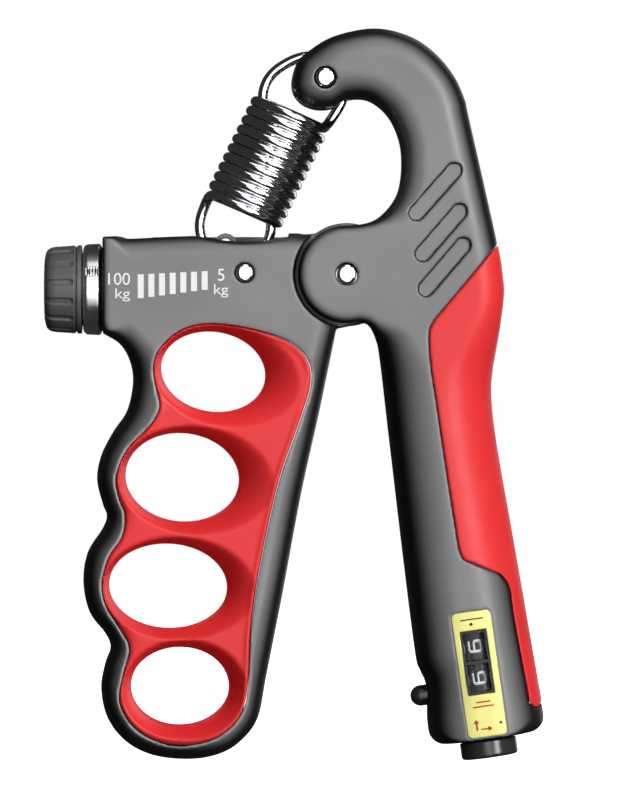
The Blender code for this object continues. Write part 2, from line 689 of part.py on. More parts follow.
def palm_arm_cutters(end_cutter):
    hook_x, hook_z = HOOK_PIN
    slot = (-HOOK_SLOT_HALF, HOOK_SLOT_HALF)
    plunger_place = HANDLE_FRAME @ at(0, 0, PLUNGER_S) @ ALONG_X
    label_room = (LABEL_Y[0] - FAR, LABEL_Y[1] + GAP)
    label_t = (LABEL_T[0] - GAP, LABEL_T[1] + GAP)
    window_t = (WINDOW_T[0] - GAP, WINDOW_T[1] + GAP)
    window_s = (WINDOW_S[0] - GAP, WINDOW_S[1] + GAP)
    cutters = [
        end_cutter,
        palm_pad_seat(),
        cylinder("tongue_pocket", TONGUE_POCKET_R, -TONGUE_POCKET_HALF, TONGUE_POCKET_HALF, across(*PIVOT), 36),
        cylinder("palm_pivot_bore", PIVOT_PIN_R + GAP, -FAR, FAR, across(*PIVOT)),
        pin_hole("hook_pin_hole", hook_x, hook_z, HOOK_PIN_HEAD_R, HOOK_PIN_SHANK_R, HOOK_SLOT_HALF + 2),
        cylinder("hook_slot_round", HOOK_SLOT_R, *slot, across(hook_x, hook_z), 32),
        box("hook_slot_side", (-20, hook_x - 2.0), slot, (130, 175)),
        box("hook_slot_under", (-20, hook_x + 6.6), slot, (130, hook_z)),
        symmetric_box("counter_cavity", COUNTER_CAVITY, HANDLE_FRAME),
        cylinder("wheel_room", WHEEL_R + 0.5, WINDOW_S[0] - HALF_GAP, WINDOW_S[1] + HALF_GAP, axle_frame(), 32),
        box("window_opening", window_t, (-FAR, -9), window_s, HANDLE_FRAME),
        box("label_recess", label_t, label_room, (LABEL_S[0] - 2, LABEL_S[1] + GAP), HANDLE_FRAME),
        cylinder("reset_bore", RESET_STEM_R + GAP, -10, COUNTER_CAVITY[2][0] + 1, axle_frame(), 20),
        cylinder("plunger_bore", PLUNGER_R + GAP, -20, -9, plunger_place, 20),
        cylinder("flange_room", PLUNGER_FLANGE_R + GAP, PLUNGER_T[1] - 1.0, -6, plunger_place, 20),
        box("pawl_room", (-10.1, -6.5), (-4.2, -2.0), (8.0, 23.0), HANDLE_FRAME),
    ]
    for i, (start, end) in enumerate(GROOVES, 1):
        outline = capsule(start, end, GROOVE_WIDTH)
        cutters.append(plate(f"groove_front_{i}", outline, -FAR, GROOVE_DEPTH - HALF_DEPTH))
        cutters.append(plate(f"groove_back_{i}", outline, HALF_DEPTH - GROOVE_DEPTH, FAR))
    cutters += [assembly_screw_hole(f"palm_screw_hole_{i}", *spot) for i, spot in enumerate(PALM_SCREWS, 1)]
    return cutters


def palm_arm_shell(name, side, cutters):
    shell = plate(name, palm_outline(), -HALF_DEPTH, HALF_DEPTH, PALM_ROUNDING)
    keep_inside(shell, half_space(name + "_side", side))
    return paint_plastic(cut(shell, *cutters))


def pivot_washer(name, side):
    low, high = sorted((side * WASHER_NEAR, side * WASHER_FAR))
    inner = PIVOT_PIN_R + GAP
    profile = ((inner, high), (WASHER_R, high), (WASHER_R, low), (inner, low))
    return paint(lathe(name, profile, across(*PIVOT), 32, ring=True), (0.85, 0.85, 0.8), 0.5)


def counter_label():
    corner = 1.1
    (left, right), (low, high) = LABEL_T, LABEL_S
    outline = arc((left + corner, high - corner), corner, 180, 90, 4)
    outline += arc((right - corner, high - corner), corner, 90, 0, 4)
    outline += arc((right - corner, low + corner), corner, 0, -90, 4)
    outline += arc((left + corner, low + corner), corner, -90, -180, 4)
    label = plate("counter_label", outline, *LABEL_Y, place=HANDLE_FRAME)
    opening_t = (WINDOW_T[0] - 0.1, WINDOW_T[1] + 0.1)
    opening_s = (WINDOW_S[0] - 0.1, WINDOW_S[1] + 0.1)
    opening = box("label_opening", opening_t, (-FAR, 0), opening_s, HANDLE_FRAME)
    return paint(cut(label, opening), (0.95, 0.88, 0.25), 0.4)


def counter_bezel():
    """The black frame around the two number windows."""
    bezel = box("counter_bezel", WINDOW_T, BEZEL_Y, WINDOW_S, HANDLE_FRAME)
    border = 0.45
    opening_t = (WINDOW_T[0] + border, WINDOW_T[1] - border)
    lower = box("bezel_tens", opening_t, (-FAR, 0), (WINDOW_S[0] + border, WINDOW_BAR_S - 0.35), HANDLE_FRAME)
    upper = box("bezel_units", opening_t, (-FAR, 0), (WINDOW_BAR_S + 0.35, WINDOW_S[1] - border), HANDLE_FRAME)
    return paint(cut(bezel, lower, upper), (0.02, 0.02, 0.02), 0.3)


def counter_lens():
    return paint(box("counter_lens", WINDOW_T, LENS_Y, WINDOW_S, HANDLE_FRAME), (0.9, 0.9, 0.9), 0.05)


def counter_frame():
    """The bracket that holds the axle, open to the front for the wheels."""
    wall = 1.7
    low, high = 7.6, 27.4
    frame = box("counter_frame", (-5.6, 6.0), (-8.0, 4.6), (low, high), HANDLE_FRAME)
    inside = box("frame_inside", (-4.8, 20), (-20, 3.6), (low + wall, high - wall), HANDLE_FRAME)
    wheel_side = box("frame_wheel_side", (-20, 0), (-20, -0.4), (low + wall, high - wall), HANDLE_FRAME)
    bore = cylinder("frame_bore", AXLE_R + GAP, 0, 40, axle_frame(), 16)
    return paint_plastic(cut(frame, inside, wheel_side, bore), (0.6, 0.6, 0.58), 0.5)


def number_wheel(name, span):
    inner = AXLE_R + GAP
    low, high = span
    edge = 0.25
    profile = (
        (inner, high), (WHEEL_R - edge, high), (WHEEL_R, high - edge),
        (WHEEL_R, low + edge), (WHEEL_R - edge, low), (inner, low),
    )
    return paint(lathe(name, profile, axle_frame(), 30, ring=True), (0.02, 0.02, 0.02), 0.45)


def wheel_axle():
    return paint_steel(cylinder("wheel_axle", AXLE_R, *AXLE_S, axle_frame(), 16), 0.25)


def reset_knob():
    low, high = RESET_S
    stem_top = AXLE_S[0] - GAP
    profile = (
        (0, stem_top), (RESET_STEM_R, stem_top), (RESET_STEM_R, high), (RESET_R - 0.3, high),
        (RESET_R, high - 0.3), (RESET_R, low + 0.7), (RESET_R - 0.7, low), (0, low),
    )
    return paint(lathe("reset_knob", profile, axle_frame(), 30), (0.02, 0.02, 0.022), 0.35)


def counter_plunger():
    tip, flange = PLUNGER_T
    place = HANDLE_FRAME @ at(0, 0, PLUNGER_S) @ ALONG_X
    profile = (
        (0, flange), (PLUNGER_FLANGE_R, flange), (PLUNGER_FLANGE_R, flange - 0.7), (PLUNGER_R, flange - 0.7),
        (PLUNGER_R, tip + 1.4), (PLUNGER_R * 0.85, tip + 0.6), (PLUNGER_R * 0.5, tip + 0.12), (0, tip),
    )
    return paint(lathe("counter_plunger", profile, place, 24), (0.02, 0.02, 0.022), 0.3)


def plunger_spring():
    turns, wire_r, radius = 3.5, 0.22, 2.1
    low, high = RETURN_SPRING_T[0] + wire_r, RETURN_SPRING_T[1] - wire_r
    count = int(turns * 8)
    path = []
    for i in range(count + 1):
        angle = 2 * math.pi * turns * i / count
        along = low + (high - low) * i / count
        local = Vector((along, radius * math.cos(angle), PLUNGER_S + radius * math.sin(angle)))
        path.append(tuple((HANDLE_FRAME @ (local * MM)) / MM))
    return paint_steel(wire("plunger_spring", path, wire_r, 1), 0.25)


def ratchet_pawl():
    """The tongue that the plunger pushes against the units wheel."""
    pawl = box("ratchet_pawl", (-9.6, -9.0), (-3.7, -2.5), (8.6, 22.4), HANDLE_FRAME)
    tooth = box("pawl_tooth", (-9.2, -8.4), (-3.7, -2.5), (20.4, 22.4), HANDLE_FRAME)
    return paint_steel(add_to(pawl, tooth), 0.3)


remove_everything()
PARTS = new_collection("finger_exerciser")
CUTTERS = new_collection("finger_exerciser_cutters")

# The finger grip, which everything else moves on.
grip_cutters = finger_grip_cutters()
finger_grip_shell("finger_grip_front_shell", -1, grip_cutters)
finger_grip_shell("finger_grip_back_shell", 1, grip_cutters)
finger_insert("finger_insert_front", -1)
finger_insert("finger_insert_back", 1)
adjuster_collar()
domed_pin("grip_rivet", *RIVET, RIVET_HEAD_R, RIVET_SHANK_R, RIVET_HEAD_Y)
for number, spot in enumerate(GRIP_SCREWS, 1):
    assembly_screw(f"finger_grip_screw_{number}", *spot)

# The adjuster.
knob_joint = joint_empty("knob_joint", at(0, 0, SCREW_Z))
carry(knob_joint, adjuster_knob(), lead_screw(), screw_clip())
slider_joint = joint_empty("slider_joint", at(SLIDER_PIN[0], 0, SCREW_Z))
carry(slider_joint, slider_nut())
spring_joint = joint_empty("spring_joint", at(SLIDER_PIN[0], 0, SLIDER_PIN[1]))
carry(spring_joint, slider_pin(), *spring_pieces())

# The palm arm.
pivot_joint = joint_empty("pivot_joint", at(PIVOT[0], 0, PIVOT[1]))
palm_end = palm_end_cutter()
palm_cutters = palm_arm_cutters(palm_end)
carry(pivot_joint, palm_arm_shell("palm_arm_front_shell", -1, palm_cutters))
carry(pivot_joint, palm_arm_shell("palm_arm_back_shell", 1, palm_cutters))
carry(pivot_joint, palm_pad())
carry(pivot_joint, domed_pin("pivot_pin", *PIVOT, PIVOT_PIN_R, PIVOT_PIN_R, 6.0))
carry(pivot_joint, pivot_washer("pivot_washer_front", -1), pivot_washer("pivot_washer_back", 1))
carry(pivot_joint, domed_pin("hook_pin", *HOOK_PIN, HOOK_PIN_HEAD_R, HOOK_PIN_SHANK_R, HOOK_SLOT_HALF + 2))
for number, spot in enumerate(PALM_SCREWS, 1):
    carry(pivot_joint, assembly_screw(f"palm_arm_screw_{number}", *spot))

# The counter.
carry(pivot_joint, counter_label(), counter_bezel(), counter_lens(), counter_frame())
wheel_joint = joint_empty("wheel_joint", axle_frame())
carry(wheel_joint, number_wheel("units_wheel", UNITS_S), number_wheel("tens_wheel", TENS_S))
carry(wheel_joint, wheel_axle(), reset_knob())
plunger_joint = joint_empty("plunger_joint", HANDLE_FRAME @ at(PLUNGER_T[0], 0, PLUNGER_S))
carry(plunger_joint, counter_plunger(), ratchet_pawl())
carry(pivot_joint, plunger_spring())
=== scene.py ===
import math

import bmesh
import bpy
import numpy as np
from mathutils import Matrix, Vector


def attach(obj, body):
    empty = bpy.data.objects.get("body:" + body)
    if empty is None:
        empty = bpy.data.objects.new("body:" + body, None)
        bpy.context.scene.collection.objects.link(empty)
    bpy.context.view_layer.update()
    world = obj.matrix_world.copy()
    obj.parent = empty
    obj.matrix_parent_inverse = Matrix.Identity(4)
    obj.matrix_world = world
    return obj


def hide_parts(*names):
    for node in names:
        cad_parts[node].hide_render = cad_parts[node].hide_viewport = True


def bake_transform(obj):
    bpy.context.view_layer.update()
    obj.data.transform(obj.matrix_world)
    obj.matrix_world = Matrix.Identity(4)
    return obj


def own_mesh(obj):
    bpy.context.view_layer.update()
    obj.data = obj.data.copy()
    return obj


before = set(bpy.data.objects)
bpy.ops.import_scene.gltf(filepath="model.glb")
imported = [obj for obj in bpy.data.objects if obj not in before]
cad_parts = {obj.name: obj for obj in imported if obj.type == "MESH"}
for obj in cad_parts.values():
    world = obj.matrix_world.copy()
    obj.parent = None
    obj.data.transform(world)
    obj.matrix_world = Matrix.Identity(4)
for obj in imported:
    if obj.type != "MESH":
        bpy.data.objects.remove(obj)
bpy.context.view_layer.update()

# Sizes are in millimetres, as in the CAD: X right, Z up, -Y the front.
MM = 0.001
GRID = 0.4
HALF_DEPTH = 13.0
HANDLE_ROUNDING = 12.0
HANDLE_HALF = 13.3
SEAM = 0.02
SEAM_BAND = 0.9
RIM_FROM_Y = 10.5

PIVOT = (11.7, 109.6)
CHEEK_R = 11.0
TONGUE_R = 11.6
SLIDER_PIN = (-15.6, 116.2)
HOOK_PIN = (6.9, 153.8)
RIVET = (-11.2, 109.9)
SCREW_Z = 106.3
GRIP_SCREWS = ((-3.2, 104.8), (-33.0, 96.0), (-1.4, 60.0))
PALM_SCREWS = ((27.0, 151.8), (24.9, 101.6), (28.5, 62.0), (38.0, 38.5))
SPRING_TILT = math.radians(26.2)
COIL_R = 8.6
LOOP_R = 8.1
LOWER_LOOP_AT = 4.9
UPPER_LOOP_AT = 37.2
LOOP_STRETCH = 3.0
LOOP_TOWARDS = math.radians(61)
WIRE_R = 1.15
COIL_START = 8.7
COIL_END = 33.4
COIL_TURNS = 10
HANDLE_LEAN = math.radians(8.1)
HANDLE_END = (43.3, 5.0)
AXLE_Y = -4.9
AXLE_T = 0.2
WHEEL_R = 6.4
TENS_S = (10.6, 17.3)
UNITS_S = (17.8, 24.5)
PLUNGER_S = 11.5

# Rooms inside the finger grip: the range of X, the half depth in Y and the range of Z.
TROUGH = ((-41.0, -1.5), 9.8, (112.5, 130.0))
NUT_CHAMBER = ((-40.4, -9.3), 6.3, (101.3, 113.0))
LOOP_ROOM = ((-12.0, -3.5), 1.8, (108.5, 113.0))
# The dip in the trough's front edge: its middle, and its half length and half height.
DIP_MIDDLE = (-11.2, 119.4)
DIP_HALVES = (8.4, 2.4)
DIP_FROM_Y = -5.0
SCREW_BORE_R = 2.8
SCREW_BORE_END = -7.0
COLLAR_SEAT_R = 8.3
COLLAR_SEAT_END = -42.4
CHEEK_RECESS_R = 11.9
TONGUE_HALF = 5.9

# Rooms inside the palm arm. The counter's are given across the handle, in depth and along it.
CHEEK_ROOM_R = 12.5
CHEEK_ROOM_HALF = 7.1
HOOK_SLOT_R = 8.0
HOOK_SLOT_HALF = 1.8
HOOK_SLOT_BOTTOM = 130.0
GROOVE_R = 1.75
GROOVE_DEPTH = 1.1
COUNTER_ROOM = ((-7.5, 7.5), 9.6, (4.0, 30.0))
WHEEL_ROOM_R = 6.9
PAWL_ROOM = ((-10.1, -6.5), 1.1, (8.0, 23.0))
PAWL_Y = -3.1
WINDOW_MIDDLE = (0.2, 17.55)
LABEL_MIDDLE = (0.25, 14.85)
LABEL_HALVES = (3.35, 13.05)
LABEL_CORNER_R = 1.1
LABEL_SINK = 0.3

GROOVES = (
    ((27.4, 123.3), (35.9, 132.9)),
    ((28.8, 114.1), (37.1, 123.7)),
    ((29.5, 106.3), (37.9, 116.1)),
)
FINGER_HOLES = (
    ((-18.5, 87.7), 11.9, 9.0, math.radians(-10)),
    ((-25.5, 63.8), 12.9, 10.0, math.radians(-5)),
    ((-28.7, 39.3), 13.4, 9.6, math.radians(-2)),
    ((-26.0, 16.7), 11.1, 8.9, math.radians(2)),
)
# The dish around each finger hole: how far it reaches to the right, the left, above and below.
DISHES = ((8.2, 1.2, 2.0, 3.0), (8.0, 1.2, 2.0, 2.6), (6.6, 1.2, 1.8, 2.4), (4.4, 2.0, 2.0, 3.6))
DISH_DEPTH = 6.0
DISH_CURVE = 1.3
INSERT_FACE = 12.2
INSERT_LIP = 0.35

GRIP_TOP = ((-43.2, 96.3, 1), (-43.2, 118.0, 1), (-21.5, 119.0), (-2.5, 119.0), (2.4, 118.6, 1))
GRIP_REST = (
    (9.4, 97.4, 1), (5.6, 79.0), (1.4, 60.0), (-2.7, 38.0), (-6.4, 19.0), (-8.4, 9.5),
    (-12.7, 4.0), (-18.0, 1.2), (-24.5, 0.3), (-32.0, 1.2), (-38.0, 4.2), (-42.2, 9.5),
    (-43.7, 16.2), (-42.8, 22.0), (-41.6, 25.6), (-42.7, 28.6), (-46.3, 33.5), (-47.7, 40.4),
    (-46.7, 47.0), (-43.4, 52.3), (-42.4, 55.2), (-43.3, 57.8), (-44.6, 63.3), (-43.7, 68.7),
    (-41.0, 74.1), (-37.8, 79.0), (-36.5, 85.5), (-37.3, 90.4), (-39.5, 94.0),
)
INSERT_OUTLINE = (
    (-19.3, 98.5), (-25.7, 97.0), (-30.4, 92.8), (-31.8, 88.5), (-31.1, 83.5), (-30.4, 79.5),
    (-32.7, 75.4), (-37.8, 70.0), (-40.2, 64.0), (-39.6, 59.3), (-38.2, 55.3), (-38.9, 50.5),
    (-41.9, 45.8), (-43.4, 39.8), (-42.4, 34.8), (-39.2, 29.6), (-37.2, 25.4), (-38.6, 19.5),
    (-39.4, 13.5), (-36.6, 8.1), (-31.5, 4.7), (-24.8, 3.5), (-17.0, 5.6), (-11.9, 10.8),
    (-10.4, 18.0), (-9.8, 29.6), (-8.4, 40.4), (-5.7, 53.9), (-3.0, 64.7), (0.8, 75.4),
    (3.4, 83.5), (3.6, 88.5), (1.6, 92.2), (-2.8, 95.2), (-10.5, 97.5),
)
PALM_OUTER = (
    (1.0, 148.6), (-0.8, 152.0), (0.4, 157.2), (3.2, 160.0), (9.0, 163.3), (17.8, 165.0),
    (25.5, 163.4), (31.2, 159.8), (35.8, 154.4), (38.3, 149.0), (39.3, 144.6), (45.4, 117.5),
    (46.8, 109.0), (47.0, 104.5), (46.0, 96.5), (44.6, 88.0), (44.3, 82.0), (45.5, 71.4),
    (49.3, 49.8), (55.6, 14.0, 1), (58.3, -3.0, 1), (31.9, -6.5, 1), (29.9, 9.0, 1), (29.6, 16.8),
    (28.3, 20.2), (27.2, 24.0), (24.6, 44.5), (21.4, 71.4), (19.2, 90.3), (18.3, 95.0), (16.7, 98.2),
)
PALM_HOOK = (
    (14.9, 120.8), (18.5, 122.1), (21.8, 125.5), (23.5, 129.3), (24.1, 134.7), (23.5, 140.1), (21.0, 145.5),
    (16.7, 149.0), (12.0, 149.2), (8.6, 147.3), (4.6, 147.0),
)
PAD_THICKNESS = 2.6
PAD_OUTLINE = (
    (62.0, 135.6, 1), (31.5, 99.4, 1), (30.2, 96.3), (30.6, 89.0), (31.8, 80.8), (34.2, 64.7),
    (36.9, 47.6, 1), (37.9, 45.4, 1), (46.4, 42.0, 1), (48.3, 39.0), (49.3, 32.3), (52.4, 15.6),
    (52.9, 13.2), (54.2, 12.0), (55.5, 12.7), (56.3, 15.0), (57.5, 21.0, 1), (62.0, 24.0, 1),
)

HANDLE_FRAME = Matrix.Translation((HANDLE_END[0] * MM, 0, HANDLE_END[1] * MM))
HANDLE_FRAME = HANDLE_FRAME @ Matrix.Rotation(-HANDLE_LEAN, 4, "Y")


# Outlines and signed distances. A distance below zero is inside.


def smooth_loop(points, steps=6):
    outline = []
    count = len(points)
    for i in range(count):
        before, start, end, after = (np.array(points[(i + k) % count][:2], float) for k in (-1, 0, 1, 2))
        start_sharp = len(points[i]) > 2
        end_sharp = len(points[(i + 1) % count]) > 2
        if start_sharp and end_sharp:
            outline.append(tuple(start))
            continue
        leave = (end - start) if start_sharp else (end - before) / 2
        arrive = (end - start) if end_sharp else (after - start) / 2
        for step in range(steps):
            t = step / steps
            place = (2 * t**3 - 3 * t**2 + 1) * start + (t**3 - 2 * t**2 + t) * leave
            place += (3 * t**2 - 2 * t**3) * end + (t**3 - t**2) * arrive
            outline.append(tuple(place))
    return outline


def arc(centre, radius, first, last, count):
    angles = np.radians(np.linspace(first, last, count))
    return tuple((centre[0] + radius * math.cos(a), centre[1] + radius * math.sin(a), 1) for a in angles)


GRIP_OUTLINE = smooth_loop(GRIP_TOP + arc(PIVOT, TONGUE_R, 127, -87, 40) + GRIP_REST)
PALM_OUTLINE = smooth_loop(PALM_OUTER + arc(PIVOT, CHEEK_R, -76, -262, 40) + PALM_HOOK)
INSERT_LOOP = smooth_loop(INSERT_OUTLINE)
PAD_LOOP = smooth_loop(PAD_OUTLINE)


def outline_distance(outline, x, z):
    """How far each place is from a closed outline."""
    x, z = np.broadcast_arrays(x, z)
    nearest = np.full(x.shape, 1e9)
    inside = np.zeros(x.shape, bool)
    for (ax, az), (bx, bz) in zip(outline, outline[1:] + outline[:1]):
        ex, ez = bx - ax, bz - az
        length = ex * ex + ez * ez
        if length < 1e-12:
            continue
        share = np.clip(((x - ax) * ex + (z - az) * ez) / length, 0, 1)
        nearest = np.minimum(nearest, (x - ax - share * ex) ** 2 + (z - az - share * ez) ** 2)
        if az != bz:
            crosses = ((az > z) != (bz > z)) & (x < ex * (z - az) / ez + ax)
            inside ^= crosses
    return np.where(inside, -1, 1) * np.sqrt(nearest)


def step_up(low, high, value):
    share = np.clip((value - low) / (high - low), 0, 1)
    return share * share * (3 - 2 * share)


def both(a, b, radius=0.35):
    """Where both solids are, with the edge between them rounded."""
    a, b = a + radius, b + radius
    return np.minimum(np.maximum(a, b), 0) + np.hypot(np.maximum(a, 0), np.maximum(b, 0)) - radius


def without(a, b, radius=0.35):
    return both(a, -b, radius)


def either(a, b):
    return np.minimum(a, b)


def box_distance(x, y, z, room):
    """room is the range of X, the half depth in Y and the range of Z."""
    (x0, x1), depth, (z0, z1) = room
    from_x = np.abs(x - (x0 + x1) / 2) - (x1 - x0) / 2
    from_z = np.abs(z - (z0 + z1) / 2) - (z1 - z0) / 2
    return np.maximum(np.maximum(from_x, np.abs(y) - depth), from_z)


def round_distance(x, z, spot, radius):
    return np.hypot(x - spot[0], z - spot[1]) - radius


def capsule_distance(x, z, start, end, radius):
    ex, ez = end[0] - start[0], end[1] - start[1]
    share = np.clip(((x - start[0]) * ex + (z - start[1]) * ez) / (ex * ex + ez * ez), 0, 1)
    return np.hypot(x - start[0] - share * ex, z - start[1] - share * ez) - radius


def handle_places(x, z):
    """Across the lower handle and along it."""
    x, z = x - HANDLE_END[0], z - HANDLE_END[1]
    lean = HANDLE_LEAN
    return x * math.cos(lean) + z * math.sin(lean), z * math.cos(lean) - x * math.sin(lean)


def screw_holes(x, y, z, spots):
    hole = 1e9
    for spot in spots:
        radius = np.hypot(x - spot[0], z - spot[1])
        hole = np.minimum(hole, np.maximum(radius - 2.0, 10.0 - y))
    return hole


def grip_skin(x, y, z):
    """The finger grip's outside: rounder down the handle and its finger side, and crisp beside the collar."""
    radius = 5.5 + step_up(98, 86, z) * (1.0 + 2.5 * step_up(-12, -26, x))
    radius = radius - 4.0 * step_up(-37.0, -41.5, x) * step_up(93, 99, z)
    return both(outline_distance(GRIP_OUTLINE, x, z), np.abs(y) - HALF_DEPTH, radius)


def grip_body(x, y, z):
    body = grip_skin(x, y, z)
    from_pivot = np.hypot(x - PIVOT[0], z - PIVOT[1])
    from_screw = np.hypot(y, z - SCREW_Z)
    body = without(body, both(from_pivot - CHEEK_RECESS_R, TONGUE_HALF - np.abs(y), 0.2), 0.5)
    body = without(body, outline_distance(INSERT_LOOP, x, z), 0.45)
    body = without(body, box_distance(x, y, z, TROUGH), 0.4)
    dip = np.hypot((x - DIP_MIDDLE[0]) / DIP_HALVES[0], (z - DIP_MIDDLE[1]) / DIP_HALVES[1])
    dip = (dip - 1) * DIP_HALVES[1]
    body = without(body, np.maximum(dip, y - DIP_FROM_Y), 1.2)
    body = without(body, box_distance(x, y, z, NUT_CHAMBER))
    body = without(body, np.maximum(from_screw - SCREW_BORE_R, x - SCREW_BORE_END))
    body = without(body, np.maximum(from_screw - COLLAR_SEAT_R, x - COLLAR_SEAT_END), 0.2)
    body = without(body, box_distance(x, y, z, LOOP_ROOM))
    body = without(body, from_pivot - 2.5)
    body = without(body, np.maximum(round_distance(x, z, RIVET, 2.2), 9.2 - np.abs(y)), 0.25)
    return without(body, screw_holes(x, y, z, GRIP_SCREWS), 0.25)


def insert_face(x, z):
    """How far the insert's face is from the middle plane: a rim, with a dish into each finger hole."""
    depth = np.zeros(np.broadcast(x, z).shape)
    for (centre, half_long, half_high, lean), (right, left, up, down) in zip(FINGER_HOLES, DISHES):
        u = (x - centre[0]) * math.cos(lean) + (z - centre[1]) * math.sin(lean)
        v = (z - centre[1]) * math.cos(lean) - (x - centre[0]) * math.sin(lean)
        from_hole = np.hypot(u / half_long, v / half_high)
        dish_long = half_long + (right + left) / 2
        dish_high = half_high + (up + down) / 2
        from_dish = np.hypot((u - (right - left) / 2) / dish_long, (v - (up - down) / 2) / dish_high)
        past = np.maximum(from_hole - 1, 0)
        left_over = np.maximum(1 - from_dish, 0)
        share = past / np.maximum(past + left_over, 1e-6)
        dish = DISH_DEPTH * (1 - share) ** DISH_CURVE
        dish = np.where(from_dish >= 1, 0, dish)
        depth = np.maximum(depth, dish)
    edge = outline_distance(INSERT_LOOP, x, z)
    return INSERT_FACE + INSERT_LIP * step_up(-1.6, -0.2, edge) - depth


def insert_body(x, y, z):
    face = (np.abs(y) - insert_face(x, z)) * 0.8
    body = both(outline_distance(INSERT_LOOP, x, z) + 0.15, face, 0.5)
    for centre, half_long, half_high, lean in FINGER_HOLES:
        u = (x - centre[0]) * math.cos(lean) + (z - centre[1]) * math.sin(lean)
        v = (z - centre[1]) * math.cos(lean) - (x - centre[0]) * math.sin(lean)
        hole = (np.hypot(u / half_long, v / half_high) - 1) * half_high
        body = without(body, hole, 0.5)
    return both(body, grip_skin(x, y, z) + 0.1, 0.4)


def palm_skin(x, y, z, grow=0.0, end=True):
    """The palm arm's outside: flat about the hook and the pivot, rounder along the handle."""
    from_pivot = np.hypot(x - PIVOT[0], z - PIVOT[1])
    from_tip = np.hypot(x - 3.0, z - 152.5)
    radius = 6.0 + (HANDLE_ROUNDING - 6.0) * step_up(104, 84, z)
    radius = 2.4 + (radius - 2.4) * step_up(11.5, 19, from_pivot)
    radius = radius + 1.4 * step_up(12, 4, from_tip)
    radius = np.maximum(radius + grow, 1.0)
    body = both(outline_distance(PALM_OUTLINE, x, z) - grow, np.abs(y) - HALF_DEPTH - grow, radius)
    if not end:
        return body
    across, along = handle_places(x, z)
    return both(body, -along, 0.9 + 2.6 * step_up(5, 12, np.abs(across)))


def palm_core(x, y, z, inset):
    return palm_skin(x, y, z, -inset, end=False)


def palm_body(x, y, z):
    body = palm_skin(x, y, z)
    seat = np.maximum(outline_distance(PAD_LOOP, x, z) - 0.06, -palm_core(x, y, z, PAD_THICKNESS + 0.3))
    body = without(body, seat, 0.3)
    from_pivot = np.hypot(x - PIVOT[0], z - PIVOT[1])
    body = without(body, np.maximum(from_pivot - CHEEK_ROOM_R, np.abs(y) - CHEEK_ROOM_HALF))
    body = without(body, from_pivot - 2.45, 0.25)
    from_hook = np.hypot(x - HOOK_PIN[0], z - HOOK_PIN[1])
    body = without(body, np.maximum(from_hook - 2.45, 3.5 - np.abs(y)), 0.3)
    slot = np.minimum(from_hook - HOOK_SLOT_R, x - HOOK_PIN[0] + 2.0)
    slot = np.minimum(slot, np.maximum(x - HOOK_PIN[0] - 6.6, z - HOOK_PIN[1]))
    slot = np.maximum(slot, HOOK_SLOT_BOTTOM - z)
    body = without(body, np.maximum(slot, np.abs(y) - HOOK_SLOT_HALF), 0.5)
    for start, end in GROOVES:
        groove = capsule_distance(x, z, start, end, GROOVE_R)
        body = without(body, np.maximum(groove, HALF_DEPTH - GROOVE_DEPTH - np.abs(y)), 0.2)
    t, s = handle_places(x, z)
    from_axle = np.hypot(t - AXLE_T, y - AXLE_Y)
    room = either(box_distance(t, y, s, COUNTER_ROOM), box_distance(t, y - PAWL_Y, s, PAWL_ROOM))
    room = either(room, np.maximum(from_axle - WHEEL_ROOM_R, np.abs(s - WINDOW_MIDDLE[1]) - 7.3))
    room = either(room, np.maximum(window_distance(t, s, 2.9, 7.15), y + 9))
    body = without(body, room, 0.2)
    seat = np.maximum(-palm_skin(x, y, z) - LABEL_SINK - 0.04, y)
    body = without(body, np.maximum(label_plate(x, z) - 0.1, seat), 0.12)
    body = without(body, np.maximum(from_axle - 2.3, s - 5), 0.3)
    body = without(body, np.maximum(np.hypot(s - PLUNGER_S, y) - 2.65, t + 7), 0.4)
    return without(body, screw_holes(x, y, z, PALM_SCREWS), 0.25)


def window_distance(t, s, half_across, half_along):
    return np.maximum(np.abs(t - WINDOW_MIDDLE[0]) - half_across, np.abs(s - WINDOW_MIDDLE[1]) - half_along)


def label_plate(x, z):
    t, s = handle_places(x, z)
    across = np.maximum(np.abs(t - LABEL_MIDDLE[0]) - LABEL_HALVES[0], 0)
    along = np.maximum(np.abs(s - LABEL_MIDDLE[1]) - LABEL_HALVES[1], 0)
    return np.hypot(across, along) - LABEL_CORNER_R


def pad_body(x, y, z):
    body = np.maximum(palm_skin(x, y, z, 0.12), -palm_core(x, y, z, PAD_THICKNESS))
    return both(body, outline_distance(PAD_LOOP, x, z) + 0.04, 0.4)


def half_of(body, side):
    return lambda x, y, z: both(body(x, y, z), SEAM - side * y, 0.25)


# Meshes.


